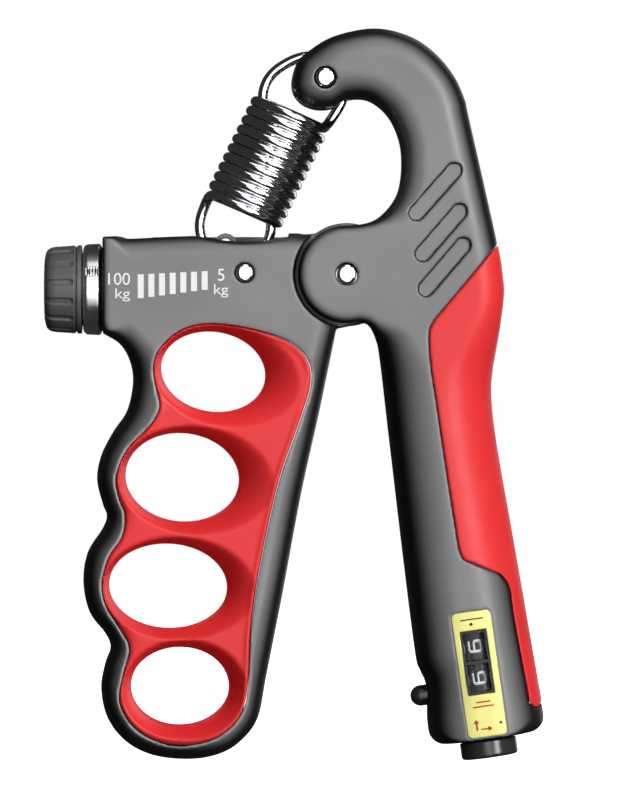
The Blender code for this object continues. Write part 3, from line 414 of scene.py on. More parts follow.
def skin_mesh(name, field, low, high, step=None):
    """A mesh of the surface where the field is zero: one point for each grid cell that it crosses."""
    step = step or GRID
    low = np.array(low, float) - 2.3 * step
    counts = np.ceil((np.array(high, float) + 2 * step - low) / step).astype(int) + 1
    axes = [low[i] + step * np.arange(counts[i]) for i in range(3)]
    x, y, z = axes[0][:, None, None], axes[1][None, :, None], axes[2][None, None, :]
    value = np.ascontiguousarray(np.broadcast_to(field(x, y, z), counts)).astype(np.float64)
    inside = value < 0
    offsets = [(i, j, k) for i in (0, 1) for j in (0, 1) for k in (0, 1)]
    last_cells = counts - 1
    cells_in = sum(
        inside[i : last_cells[0] + i, j : last_cells[1] + j, k : last_cells[2] + k].astype(np.int8)
        for i, j, k in offsets
    )
    crossed = (cells_in > 0) & (cells_in < 8)
    cells = np.argwhere(crossed)
    number = np.full(crossed.shape, -1)
    number[crossed] = np.arange(len(cells))
    places = np.zeros(cells.shape)
    hits = np.zeros(len(cells))
    for first in offsets:
        for axis in range(3):
            if first[axis]:
                continue
            direction = np.eye(3, dtype=int)[axis]
            start = cells + np.array(first)
            a = value[tuple(start.T)]
            b = value[tuple((start + direction).T)]
            hit = (a < 0) != (b < 0)
            share = np.where(hit, a / np.where(hit, a - b, 1), 0)
            places += hit[:, None] * (start + share[:, None] * direction)
            hits += hit
    points = (low + step * places / hits[:, None]) * MM
    quads = []
    for axis in range(3):
        after, last = (axis + 1) % 3, (axis + 2) % 3
        near = np.take(inside, range(0, counts[axis] - 1), axis)
        far = np.take(inside, range(1, counts[axis]), axis)
        edges = np.argwhere(near != far)
        edges = edges[(edges[:, after] > 0) & (edges[:, last] > 0)]
        one, two = np.eye(3, dtype=int)[after], np.eye(3, dtype=int)[last]
        ring = [number[tuple((edges - move).T)] for move in (0 * one, one, one + two, two)]
        ring = np.stack(ring, 1)
        outwards = near[tuple(edges.T)]
        quads.append(np.where(outwards[:, None], ring, ring[:, ::-1]))
    return mesh_from(name, points, np.concatenate(quads))


def mesh_from(name, points, quads):
    mesh = bpy.data.meshes.new(name)
    mesh.vertices.add(len(points))
    mesh.vertices.foreach_set("co", np.asarray(points, float).ravel())
    mesh.loops.add(quads.size)
    mesh.loops.foreach_set("vertex_index", np.asarray(quads, np.int32).ravel())
    mesh.polygons.add(len(quads))
    mesh.polygons.foreach_set("loop_start", np.arange(0, quads.size, quads.shape[1], dtype=np.int32))
    mesh.update(calc_edges=True)
    mesh.validate()
    mesh.shade_smooth()
    return mesh


def relax(mesh, rounds=2, share=0.5):
    """Evens out a grid's small steps: each point goes part of the way to its neighbours' middle, and back."""
    count = len(mesh.vertices)
    places = np.zeros(count * 3)
    mesh.vertices.foreach_get("co", places)
    places = places.reshape(-1, 3)
    edges = np.zeros(len(mesh.edges) * 2, np.int32)
    mesh.edges.foreach_get("vertices", edges)
    edges = edges.reshape(-1, 2)
    degree = np.bincount(edges.ravel(), minlength=count)[:, None]
    for _ in range(rounds):
        for amount in (share, -share * 1.03):
            total = np.zeros_like(places)
            for axis in range(3):
                total[:, axis] = np.bincount(edges[:, 0], places[edges[:, 1], axis], count)
                total[:, axis] += np.bincount(edges[:, 1], places[edges[:, 0], axis], count)
            places = places + amount * (total / degree - places)
    mesh.vertices.foreach_set("co", places.ravel())
    mesh.update()
    return mesh


def show(name, mesh, material, body, *nodes, place=None):
    obj = bpy.data.objects.new(name, mesh)
    bpy.context.scene.collection.objects.link(obj)
    if place is not None:
        mesh.transform(place)
    mesh.materials.clear()
    mesh.materials.append(material)
    if body:
        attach(obj, body)
    if nodes:
        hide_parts(*nodes)
    return obj


def face_outwards(mesh, smooth=None, weld=0.0):
    shape = bmesh.new()
    shape.from_mesh(mesh)
    if weld:
        bmesh.ops.remove_doubles(shape, verts=shape.verts, dist=weld)
    bmesh.ops.recalc_face_normals(shape, faces=shape.faces)
    if smooth is not None:
        for face in shape.faces:
            face.smooth = smooth
    shape.to_mesh(mesh)
    shape.free()
    return mesh


def turned(name, profile, place, segments=96, shape=None, closed=False):
    """A profile of (height, radius) points turned about local Z.

    shape(height, angle, radius) is taken off the radius.
    """
    profile = np.array(profile, float)
    angles = np.arange(segments) * 2 * math.pi / segments
    heights = np.repeat(profile[:, :1], segments, 1)
    radii = np.repeat(profile[:, 1:], segments, 1)
    if shape is not None:
        radii = radii - shape(heights, angles[None, :], radii)
    points = np.stack((radii * np.cos(angles), radii * np.sin(angles), heights), 2).reshape(-1, 3) * MM
    rows = len(profile)
    row = np.arange(rows if closed else rows - 1)[:, None]
    column = np.arange(segments)[None, :]
    after = (row + 1) % rows
    right = (column + 1) % segments
    here, there = row * segments, after * segments
    quads = np.stack((here + column, here + right, there + right, there + column), 2)
    mesh = face_outwards(mesh_from(name, points, quads.reshape(-1, 4)), True, 1e-6)
    mesh.transform(place)
    mesh.set_sharp_from_angle(angle=math.radians(50))
    return mesh


def rounded_profile(corners, radius=0.25, steps=4):
    """A profile with its inner corners rounded. A corner with a third value has a radius of its own."""
    points = [np.array(corner[:2], float) for corner in corners]
    result = [points[0]]
    for i in range(1, len(points) - 1):
        size = corners[i][2] if len(corners[i]) > 2 else radius
        back, forward = points[i - 1] - points[i], points[i + 1] - points[i]
        reach = min(size, np.linalg.norm(back) * 0.49, np.linalg.norm(forward) * 0.49)
        start = points[i] + back / np.linalg.norm(back) * reach
        end = points[i] + forward / np.linalg.norm(forward) * reach
        for step in range(steps + 1):
            t = step / steps
            result.append((1 - t) ** 2 * start + 2 * t * (1 - t) * points[i] + t**2 * end)
    result.append(points[-1])
    return result


def finely(profile, step):
    """The same profile with more points on it."""
    fine = [profile[0]]
    for a, b in zip(profile, profile[1:]):
        pieces = max(1, int(np.linalg.norm(np.array(b) - a) / step))
        fine += [a + (b - a) * (i + 1) / pieces for i in range(pieces)]
    return fine


def tube_mesh(name, path, radius, sides=16):
    """A round wire along a path, with rounded ends."""
    path = np.array(path, float)
    tangents = np.gradient(path, axis=0)
    tangents /= np.linalg.norm(tangents, axis=1)[:, None]
    side = np.cross(tangents[0], (0.3, 1.0, 0.2))
    side /= np.linalg.norm(side)
    centres, radii, sides_at, ups_at = [], [], [], []
    for i, (place, tangent) in enumerate(zip(path, tangents)):
        side = side - tangent * side.dot(tangent)
        side /= np.linalg.norm(side)
        up = np.cross(tangent, side)
        before = (-90, -60, -30) if i == 0 else ()
        after = (30, 60, 90) if i == len(path) - 1 else ()
        for turn in (*before, 0, *after):
            a = math.radians(turn)
            centres.append(place + tangent * radius * 0.5 * math.sin(a))
            radii.append(max(radius * math.cos(a), 1e-4))
            sides_at.append(side)
            ups_at.append(up)
    centres, radii = np.array(centres), np.array(radii)
    sides_at, ups_at = np.array(sides_at), np.array(ups_at)
    angles = np.arange(sides) * 2 * math.pi / sides
    around = np.cos(angles)[None, :, None] * sides_at[:, None, :]
    around = around + np.sin(angles)[None, :, None] * ups_at[:, None, :]
    points = centres[:, None, :] + radii[:, None, None] * around
    here, column = np.arange(len(centres) - 1)[:, None] * sides, np.arange(sides)[None, :]
    there, right = here + sides, (column + 1) % sides
    quads = np.stack((here + column, here + right, there + right, there + column), 2)
    return mesh_from(name, points.reshape(-1, 3) * MM, quads.reshape(-1, 4))


def ribbon(strokes, width, thickness, placed):
    """Painted strokes: each polyline becomes a thin raised ribbon, put in place by placed(u, v, height)."""
    points, quads = [], []
    for stroke in strokes:
        fine = np.array(finely(np.array(stroke, float), width * 0.5))
        for _ in range(3):
            fine[1:-1] = (fine[:-2] + 2 * fine[1:-1] + fine[2:]) / 4
        along = np.gradient(fine, axis=0)
        along /= np.maximum(np.linalg.norm(along, axis=1), 1e-9)[:, None]
        fine[0] -= along[0] * width * 0.3
        fine[-1] += along[-1] * width * 0.3
        across = np.stack((-along[:, 1], along[:, 0]), 1) * width / 2
        start = len(points)
        for place, offset in zip(fine, across):
            for way, height in ((1, 0), (-1, 0), (-1, 1), (1, 1)):
                corner = place + way * offset
                points.append(placed(corner[0], corner[1], height * thickness))
        for i in range(len(fine) - 1):
            a, b = start + 4 * i, start + 4 * (i + 1)
            quads += [(a + k, a + (k + 1) % 4, b + (k + 1) % 4, b + k) for k in range(4)]
        quads.append((start + 3, start + 2, start + 1, start))
        end = start + 4 * (len(fine) - 1)
        quads.append((end, end + 1, end + 2, end + 3))
    return np.array(points), np.array(quads)


def print_text(name, text, size, centre, material, body, y):
    """Generic dial lettering, size wide and high, as a thin raised print on the front."""
    curve = bpy.data.curves.new(name, "FONT")
    curve.body = text
    curve.size = 1.0
    curve.extrude = 0.01
    guide = bpy.data.objects.new(name + "_guide", curve)
    bpy.context.scene.collection.objects.link(guide)
    bpy.context.view_layer.update()
    depsgraph = bpy.context.evaluated_depsgraph_get()
    mesh = bpy.data.meshes.new_from_object(guide.evaluated_get(depsgraph))
    bpy.data.objects.remove(guide)
    bpy.data.curves.remove(curve)
    places = np.zeros(len(mesh.vertices) * 3)
    mesh.vertices.foreach_get("co", places)
    places = places.reshape(-1, 3)
    low, high = places.min(0), places.max(0)
    middle = (low + high) / 2
    across = centre[0] + (places[:, 0] - middle[0]) * size[0] / (high[0] - low[0])
    upwards = centre[1] + (places[:, 1] - middle[1]) * size[1] / (high[1] - low[1])
    moved = np.stack((across, y - 0.03 * np.sign(places[:, 2]), upwards), 1)
    mesh.vertices.foreach_set("co", (moved * MM).ravel())
    mesh.update()
    return show(name, mesh, material, body)


# Materials.


def new_material(name):
    material = bpy.data.materials.new(name)
    material.use_nodes = True
    nodes, links = material.node_tree.nodes, material.node_tree.links
    return material, nodes, links, nodes["Principled BSDF"]


def noise(nodes, links, scale, detail=4.0, stretch=None):
    place = nodes.new("ShaderNodeTexCoord")
    texture = nodes.new("ShaderNodeTexNoise")
    texture.inputs["Scale"].default_value = scale
    texture.inputs["Detail"].default_value = detail
    if stretch:
        mapping = nodes.new("ShaderNodeMapping")
        mapping.inputs["Scale"].default_value = stretch
        links.new(place.outputs["Object"], mapping.inputs["Vector"])
        links.new(mapping.outputs["Vector"], texture.inputs["Vector"])
    else:
        links.new(place.outputs["Object"], texture.inputs["Vector"])
    return texture.outputs["Fac"]


def ramp(nodes, links, value, stops):
    node = nodes.new("ShaderNodeValToRGB")
    for element, (position, color) in zip(node.color_ramp.elements, stops):
        element.position, element.color = position, (*color, 1)
    links.new(value, node.inputs["Fac"])
    return node.outputs["Color"]


def spread(nodes, links, value, low, high):
    node = nodes.new("ShaderNodeMapRange")
    node.inputs["From Min"].default_value = 0.3
    node.inputs["From Max"].default_value = 0.7
    node.inputs["To Min"].default_value = low
    node.inputs["To Max"].default_value = high
    links.new(value, node.inputs["Value"])
    return node.outputs["Result"]


def add_bump(nodes, links, shader, height, strength, distance):
    node = nodes.new("ShaderNodeBump")
    node.inputs["Strength"].default_value = strength
    node.inputs["Distance"].default_value = distance
    links.new(height, node.inputs["Height"])
    links.new(node.outputs["Normal"], shader.inputs["Normal"])


def blend_colors(nodes, links, factor, a, b):
    """One colour into another; each is a colour or a socket."""
    mix = nodes.new("ShaderNodeMix")
    mix.data_type = "RGBA"
    links.new(factor, mix.inputs["Factor"])
    for socket, color in ((mix.inputs["A"], a), (mix.inputs["B"], b)):
        if isinstance(color, tuple):
            socket.default_value = (*color, 1)
        else:
            links.new(color, socket)
    return mix.outputs["Result"]


def attribute(nodes, name):
    node = nodes.new("ShaderNodeAttribute")
    node.attribute_name = name
    return node.outputs["Fac"]


def facing_front(nodes, links):
    """One on the flat front and back, nought round the edges and along the parting line: where it is nought,
    the edge colour is painted shade.
    """
    place = nodes.new("ShaderNodeTexCoord")
    parts = nodes.new("ShaderNodeSeparateXYZ")
    links.new(place.outputs["Normal"], parts.inputs["Vector"])
    size = nodes.new("ShaderNodeMath")
    size.operation = "ABSOLUTE"
    links.new(parts.outputs["Y"], size.inputs[0])
    facing = nodes.new("ShaderNodeMapRange")
    facing.interpolation_type = "SMOOTHSTEP"
    facing.inputs["From Min"].default_value = 0.6
    facing.inputs["From Max"].default_value = 1.0
    links.new(size.outputs["Value"], facing.inputs["Value"])
    flat = nodes.new("ShaderNodeMath")
    flat.operation = "SUBTRACT"
    flat.use_clamp = True
    links.new(facing.outputs["Result"], flat.inputs[0])
    links.new(attribute(nodes, "seam"), flat.inputs[1])
    return flat.outputs["Value"]


def moulded(
    name, color, variation=0.12, roughness=(0.36, 0.5), grain=0.12, specular=0.35,
    rim_highlight=None, edge=None, grain_scale=2600,
):
    """Moulded plastic or rubber: a fine spark-eroded grain and slightly uneven gloss.

    edge is a painted shade colour for the rounded edges and parting line; the paler colour along the insert or
    pad is a painted rim highlight.
    """
    material, nodes, links, shader = new_material(name)
    low = tuple(c * (1 - variation) for c in color)
    high = tuple(min(1, c * (1 + variation)) for c in color)
    base = ramp(nodes, links, noise(nodes, links, 45, 5), ((0.35, low), (0.65, high)))
    # Painted shade: the edge colour where the surface turns away from the front and back.
    if edge:
        base = blend_colors(nodes, links, facing_front(nodes, links), edge, base)
    # Painted highlight: the pale colour on the rim beside the insert or pad.
    if rim_highlight:
        base = blend_colors(nodes, links, attribute(nodes, "rim"), base, rim_highlight)
    links.new(base, shader.inputs["Base Color"])
    links.new(spread(nodes, links, noise(nodes, links, 120, 4), *roughness), shader.inputs["Roughness"])
    shader.inputs["Specular IOR Level"].default_value = specular
    add_bump(nodes, links, shader, noise(nodes, links, grain_scale, 2), grain, 0.00008)
    return material


def metal(name, color, roughness, brushed=None, bump=0.05):
    material, nodes, links, shader = new_material(name)
    shader.inputs["Metallic"].default_value = 1.0
    low = tuple(c * 0.9 for c in color)
    base = ramp(nodes, links, noise(nodes, links, 90, 5), ((0.3, low), (0.7, color)))
    links.new(base, shader.inputs["Base Color"])
    links.new(spread(nodes, links, noise(nodes, links, 260, 4), *roughness), shader.inputs["Roughness"])
    height = noise(nodes, links, 900, 3, brushed)
    add_bump(nodes, links, shader, height, bump, 0.00005)
    return material


# Painted shade for the mouldings' rounded edges and parting line.
EDGE_SHADE = (0.013, 0.013, 0.014)
# The pale colours given to these two mouldings are painted highlights along the insert's and pad's rims.
GREY = moulded(
    "dark_grey_moulding", (0.215, 0.215, 0.218), 0.06, (0.34, 0.46), rim_highlight=(0.62, 0.62, 0.62), edge=EDGE_SHADE
)
GREY_PALM = moulded(
    "dark_grey_palm_moulding", (0.215, 0.215, 0.218), 0.06, (0.34, 0.46), rim_highlight=(0.5, 0.5, 0.5), edge=EDGE_SHADE
)
RED = moulded("red_soft_insert", (0.84, 0.034, 0.038), 0.05, (0.36, 0.5), 0.16, 0.3, grain_scale=1900)
RED_PAD = moulded("red_soft_pad", (0.84, 0.036, 0.040), 0.05, (0.38, 0.5), 0.2, 0.3, grain_scale=1700)
BLACK = moulded("black_knob", (0.105, 0.105, 0.108), 0.1, (0.3, 0.42), 0.1, 0.4)
BLACK_GLOSS = moulded("black_button", (0.035, 0.035, 0.037), 0.1, (0.2, 0.32), 0.06, 0.5)
WHEEL = moulded("black_number_wheel", (0.018, 0.016, 0.02), 0.1, (0.35, 0.5), 0.08, 0.4)
WHITE = moulded("white_print", (0.95, 0.95, 0.95), 0.02, (0.5, 0.6), 0.05, 0.3)
YELLOW = moulded("yellow_label", (0.98, 0.93, 0.30), 0.03, (0.42, 0.5), 0.05, 0.4)
RED_INK = moulded("red_label_print", (0.55, 0.06, 0.02), 0.05, (0.5, 0.6), 0.05, 0.3)
BLACK_INK = moulded("black_label_print", (0.03, 0.03, 0.03), 0.05, (0.5, 0.6), 0.05, 0.3)
NYLON = moulded("nylon_washer", (0.82, 0.81, 0.76), 0.03, (0.4, 0.55), 0.08, 0.4)
FRAME_GREY = moulded("counter_frame_grey", (0.42, 0.42, 0.4), 0.05, (0.4, 0.5), 0.08, 0.4)
CHROME = metal("polished_chrome", (0.90, 0.90, 0.92), (0.05, 0.12))
SATIN_CHROME = metal("satin_chrome", (0.92, 0.92, 0.93), (0.24, 0.30))
SPRING_CHROME = metal("spring_chrome", (0.86, 0.86, 0.88), (0.08, 0.18), (1, 1, 1), 0.1)
STEEL = metal("zinc_plated_steel", (0.68, 0.69, 0.71), (0.25, 0.4), (1, 6, 1), 0.15)
DARK_STEEL = metal("blackened_steel", (0.10, 0.10, 0.11), (0.35, 0.5), (1, 1, 1), 0.15)


def lens_material():
    material, nodes, links, shader = new_material("clear_window")
    stops = ((0.3, (0.05, 0.05, 0.055)), (0.7, (0.07, 0.07, 0.075)))
    links.new(ramp(nodes, links, noise(nodes, links, 60), stops), shader.inputs["Base Color"])
    links.new(spread(nodes, links, noise(nodes, links, 300), 0.04, 0.12), shader.inputs["Roughness"])
    shader.inputs["Alpha"].default_value = 0.05
    return material


for node, material in (
    ("finger_grip_screw_1", STEEL), ("finger_grip_screw_2", STEEL), ("finger_grip_screw_3", STEEL),
    ("palm_arm_screw_1", STEEL), ("palm_arm_screw_2", STEEL),
    ("palm_arm_screw_3", STEEL), ("palm_arm_screw_4", STEEL),
    ("screw_clip", STEEL), ("slider_nut", DARK_STEEL), ("slider_pin", STEEL), ("wheel_axle", STEEL),
    ("pivot_washer_front", NYLON), ("pivot_washer_back", NYLON), ("ratchet_pawl", STEEL),
    ("counter_frame", FRAME_GREY), ("counter_lens", lens_material()), ("counter_bezel", BLACK_INK),
    ("units_wheel", WHEEL), ("tens_wheel", WHEEL), ("lead_screw", STEEL),
):
    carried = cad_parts[node]
    if not carried.data.materials:
        carried.data.materials.append(material)
    for i in range(len(carried.material_slots)):
        carried.material_slots[i].material = material


# The mouldings.


def mark_edges(obj, outline, width, strength):
    """Marks the points beside an outline, for the painted highlight there, and those along the parting line,
    for painted shade.
    """
    mesh = obj.data
    places = np.zeros(len(mesh.vertices) * 3)
    mesh.vertices.foreach_get("co", places)
    places = places.reshape(-1, 3) / MM
    away = np.abs(outline_distance(outline, places[:, 0], places[:, 2]))
    value = np.exp(-((away / width) ** 2)) * strength
    value *= np.abs(places[:, 1]) > RIM_FROM_Y
    # seam marks the parting line, where the painted edge shade goes on too.
    for word, values in (("rim", value), ("seam", np.abs(places[:, 1]) < SEAM_BAND)):
        mark = mesh.attributes.new(word, "FLOAT", "POINT")
        mark.data.foreach_set("value", values.astype(np.float32))


for side, word in ((-1, "front"), (1, "back")):
    y_low, y_high = sorted((0, side * HALF_DEPTH))

    def half(name, body, low, high):
        field = half_of(body, side)
        return relax(skin_mesh(name, field, (low[0], y_low, low[1]), (high[0], y_high, high[1])))

    grip_name, insert_name, palm_name = f"finger_grip_{word}", f"finger_insert_{word}", f"palm_arm_{word}"
    grip = half(grip_name, grip_body, (-48, 0), (24, 122))
    grip = show(grip_name, grip, GREY, "finger_grip", grip_name + "_shell")
    mark_edges(grip, INSERT_LOOP, 0.38, 0.6)
    insert = half(insert_name + "_skin", insert_body, (-44, 3), (5, 99))
    show(insert_name + "_skin", insert, RED, "finger_grip", insert_name)
    palm = half(palm_name, palm_body, (-1, 2), (58, 165))
    palm = show(palm_name, palm, GREY_PALM, "palm_arm", palm_name + "_shell")
    mark_edges(palm, PAD_LOOP, 0.35, 0.25)
pad = relax(skin_mesh("palm_pad_skin", pad_body, (29, -13.2, 10), (58, 13.2, 136)))
show("palm_pad_skin", pad, RED_PAD, "palm_arm", "palm_pad")


# Turned parts.

ALONG_X = Matrix.Rotation(math.pi / 2, 4, "Y")
SCREW_LINE = Matrix.Translation((0, 0, SCREW_Z * MM)) @ ALONG_X


def across_at(x, z):
    """Local Z points to the back."""
    return Matrix.Translation((x * MM, 0, z * MM)) @ Matrix.Rotation(-math.pi / 2, 4, "X")


# Each profile is a list of places along the axis and radii, with some corners' own rounding.
KNOB_PROFILE = (
    (-56.5, 0.01), (-56.5, 7.0), (-56.1, 8.7, 0.5), (-55.2, 9.45, 0.9), (-54.0, 9.65), (-51.0, 9.85),
    (-49.6, 9.95), (-49.5, 9.6, 0.08), (-49.2, 9.6, 0.08), (-49.1, 10.0), (-48.1, 10.0), (-48.1, 8.4),
    (-48.9, 8.4), (-48.9, 2.9), (-52.5, 2.9), (-52.5, 0.01),
)
KNOB_GROOVES = 14
KNOB_GROOVE_END = -50.6
KNOB_GROOVE_HALF = 0.62
KNOB_GROOVE_DEPTH = 0.42
COLLAR_PROFILE = (
    (-42.7, 3.3), (-42.7, 8.0), (-43.5, 8.0), (-43.5, 9.4), (-43.8, 10.0), (-44.1, 10.35),
    (-47.0, 10.2), (-47.5, 9.8), (-47.8, 9.2), (-47.8, 8.1), (-48.6, 8.1), (-48.6, 3.3),
)
COLLAR_MARK_AT = math.radians(248)
COLLAR_MIDDLE = -45.65
KNURL_DEPTH = 0.18
KNURL_PITCH = 0.6
BUTTON_TIP = -15.7
BUTTON_R = 2.35
RESET_PROFILE = (
    (-4.2, 0.01), (-4.2, 5.6), (-4.05, 6.1), (-3.6, 6.4), (-0.35, 6.4), (-0.35, 2.0), (5.5, 2.0), (5.5, 0.01),
)


def knob_flutes(height, angle, radius):
    """Shallow round-ended grooves, open at the knob's outer end."""
    spacing = 2 * math.pi / KNOB_GROOVES
    local = (angle + spacing * 0.35) % spacing - spacing / 2
    past_end = np.maximum(height - KNOB_GROOVE_END, 0)
    distance = np.hypot(past_end, local * 10.0) - KNOB_GROOVE_HALF
    return KNOB_GROOVE_DEPTH * step_up(0.18, -0.18, distance) * (radius > 7)


knob = finely(rounded_profile(KNOB_PROFILE, 0.25, 5), 0.25)
show("knob", turned("knob", knob, SCREW_LINE, 336, knob_flutes), BLACK, "adjuster", "adjuster_knob")


def collar_knurl(height, angle, radius):
    """A short knurled mark on the band, for the pointer."""
    along = height - COLLAR_MIDDLE
    mark = (np.abs(angle - COLLAR_MARK_AT) < 0.09) & (np.abs(along) < 1.5) & (radius > 9)
    return KNURL_DEPTH * mark * (0.5 + 0.5 * np.cos(along * 2 * math.pi / KNURL_PITCH))


collar = finely(rounded_profile(COLLAR_PROFILE, 0.3), 0.2)
collar = turned("collar", collar, SCREW_LINE, 240, collar_knurl, closed=True)
show("collar", collar, SATIN_CHROME, "finger_grip", "adjuster_collar")


def domed(name, spot, head, shank, head_from, body, node):
    """A headed pin from front to back: a flat dome in front and a lower one behind."""
    profile = [(-13.3, 0.01), (-13.29, head * 0.4), (-13.26, head * 0.7), (-13.16, head * 0.88)]
    profile += [(-12.95, head * 0.97), (-12.6, head), (-head_from, head), (-head_from, shank)]
    profile += [(head_from, shank), (head_from, head), (12.0, head), (12.4, head * 0.95)]
    profile += [(12.62, head * 0.8), (12.75, head * 0.5), (12.8, 0.01)]
    show(name, turned(name, profile, across_at(*spot), 64), CHROME, body, node)


domed("hook_pin_chrome", HOOK_PIN, 2.15, 1.6, 3.8, "palm_arm", "hook_pin")
domed("pivot_pin_chrome", PIVOT, 2.2, 2.19, 6.0, "palm_arm", "pivot_pin")
domed("rivet_chrome", RIVET, 2.0, 1.1, 9.5, "finger_grip", "grip_rivet")

axle = HANDLE_FRAME @ Matrix.Translation((AXLE_T * MM, AXLE_Y * MM, 0))
reset = finely(rounded_profile(RESET_PROFILE, 0.3), 0.3)
show("reset_cap", turned("reset_cap", reset, axle, 96), BLACK_GLOSS, "reset", "reset_knob")

button_place = HANDLE_FRAME @ Matrix.Translation((0, 0, PLUNGER_S * MM)) @ ALONG_X
button = [(BUTTON_TIP, 0.01)]
for a in np.radians(np.arange(8, 91, 8)):
    button.append((BUTTON_TIP + BUTTON_R * (1 - math.cos(a)), BUTTON_R * math.sin(a)))
button += [(-13.3, BUTTON_R), (-10.6, BUTTON_R), (-10.6, 3.0), (-9.9, 3.0), (-9.9, 0.01)]
button = turned("plunger_button", button, button_place, 64)
show("plunger_button", button, BLACK_GLOSS, "plunger", "counter_plunger")


# The spring: one wire, bent in two lengths that part at the middle of the coil.


def spring_point(along, side, depth):
    """A place by its distance along the spring's axis from the slider pin, and from that axis."""
    x = SLIDER_PIN[0] + along * math.sin(SPRING_TILT) + side * math.cos(SPRING_TILT)
    z = SLIDER_PIN[1] + along * math.cos(SPRING_TILT) - side * math.sin(SPRING_TILT)
    return np.array((x, depth, z))


def spring_path():
    """The wire's middle line from the lower loop's end to the upper one's, and the coil's middle on it."""
    path = []
    for a in np.radians(np.linspace(30, -180, 60)):
        path.append(spring_point(LOWER_LOOP_AT + LOOP_R * math.sin(a), LOOP_R * math.cos(a), 0))
    turns = COIL_TURNS + 0.5
    steps = int(turns * 48)
    middle = len(path) + steps // 2
    for i in range(steps + 1):
        angle = math.pi + 2 * math.pi * i / 48
        height = COIL_START + (COIL_END - COIL_START) * i / steps
        path.append(spring_point(height, COIL_R * math.cos(angle), COIL_R * math.sin(angle)))
    for degrees in np.linspace(0, 212, 60):
        a = math.radians(degrees)
        radius = LOOP_R + LOOP_STRETCH * max(0.0, math.cos(a - LOOP_TOWARDS)) ** 2
        path.append(spring_point(UPPER_LOOP_AT + radius * math.sin(a), radius * math.cos(a), 0))
    path = np.array(path)
    for _ in range(6):
        path[1:-1] = (path[:-2] + 2 * path[1:-1] + path[2:]) / 4
    return path, middle


wire, middle = spring_path()
lower = tube_mesh("spring_lower_half", wire[: middle + 1], WIRE_R)
lower = show("spring_lower_half", lower, SPRING_CHROME, None)
upper = tube_mesh("spring_upper_half", wire[middle:], WIRE_R)
upper = show("spring_upper_half", upper, SPRING_CHROME, None)
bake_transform(lower)
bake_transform(upper)
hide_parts("spring_lower_coil", "spring_middle_coil")
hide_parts("spring_upper_coil")

# The plunger's own small spring, built here as one fixed coil; the real one shortens as the plunger is
# pressed.
RETURN_TURNS = 4.5
RETURN_R = 2.1
RETURN_START = -9.35
RETURN_LENGTH = 3.2
coil = []
for i in range(int(RETURN_TURNS * 32) + 1):
    a = 2 * math.pi * i / 32
    across = RETURN_START + RETURN_LENGTH * i / (RETURN_TURNS * 32)
    local = Vector((across, RETURN_R * math.cos(a), PLUNGER_S + RETURN_R * math.sin(a)))
    coil.append(tuple((HANDLE_FRAME @ (local * MM)) / MM))
coil = tube_mesh("plunger_return_coil", coil, 0.2, 10)
button_spring = show("plunger_return_coil", coil, STEEL, "palm_arm", "plunger_spring")
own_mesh(button_spring)


# The counter's label, window and numbers.


def on_label(u, v, height):
    """A place on the label: u across, v up, height out of its face."""
    past_flat = max(abs(u) - (HANDLE_HALF - HANDLE_ROUNDING), 0.0)
    drop = HANDLE_ROUNDING - math.sqrt(HANDLE_ROUNDING**2 - past_flat**2)
    return (HANDLE_FRAME @ Vector((u * MM, (drop - height - HALF_DEPTH - 0.05) * MM, v * MM))) / MM


def label_body(x, y, z):
    t, s = handle_places(x, z)
    skin = palm_skin(x, y, z)
    sheet = np.maximum(skin - 0.05, np.maximum(-skin - LABEL_SINK, y))
    return both(np.maximum(label_plate(x, z), -window_distance(t, s, 3.0, 7.25)), sheet, 0.08)


label = relax(skin_mesh("label", label_body, (35, -13.1, 4), (50, -12.0, 35), GRID / 2.5), 1)
show("label", label, YELLOW, "palm_arm", "counter_label")


def add_print(name, strokes, width, material, body, placed, thickness=0.05):
    points, quads = ribbon(strokes, width, thickness, placed)
    return show(name, face_outwards(mesh_from(name, points * MM, quads), False), material, body)


# Plain lines, dots and arrows where the real label has its small print.
for name, strokes, width, ink in (
    ("label_mark_top", [[(-0.25, 26.1), (0.25, 26.1)], [(-0.12, 26.35), (0.12, 26.35)]], 0.38, BLACK_INK),
    ("label_arrow_up", [[(-1.9, 2.4), (-1.9, 4.2)], [(-2.25, 4.0), (-1.9, 4.7), (-1.55, 4.0)]], 0.36, RED_INK),
    ("label_arrow_base", [[(-1.0, 2.5), (1.2, 2.5)], [(0.7, 2.15), (1.35, 2.5), (0.7, 2.85)]], 0.34, RED_INK),
    ("label_mark_side", [[(3.35, 3.4), (3.75, 3.4)], [(3.45, 3.65), (3.65, 3.65)]], 0.3, BLACK_INK),
    ("label_line_top", [[(-2.2, 27.3), (2.8, 27.3)]], 0.28, BLACK_INK),
    ("label_line_reset", [[(-1.2, 8.6), (1.8, 8.6)], [(-2.0, 7.6), (2.4, 7.6)]], 0.34, RED_INK),
):
    add_print(name, strokes, width, ink, "palm_arm", on_label)

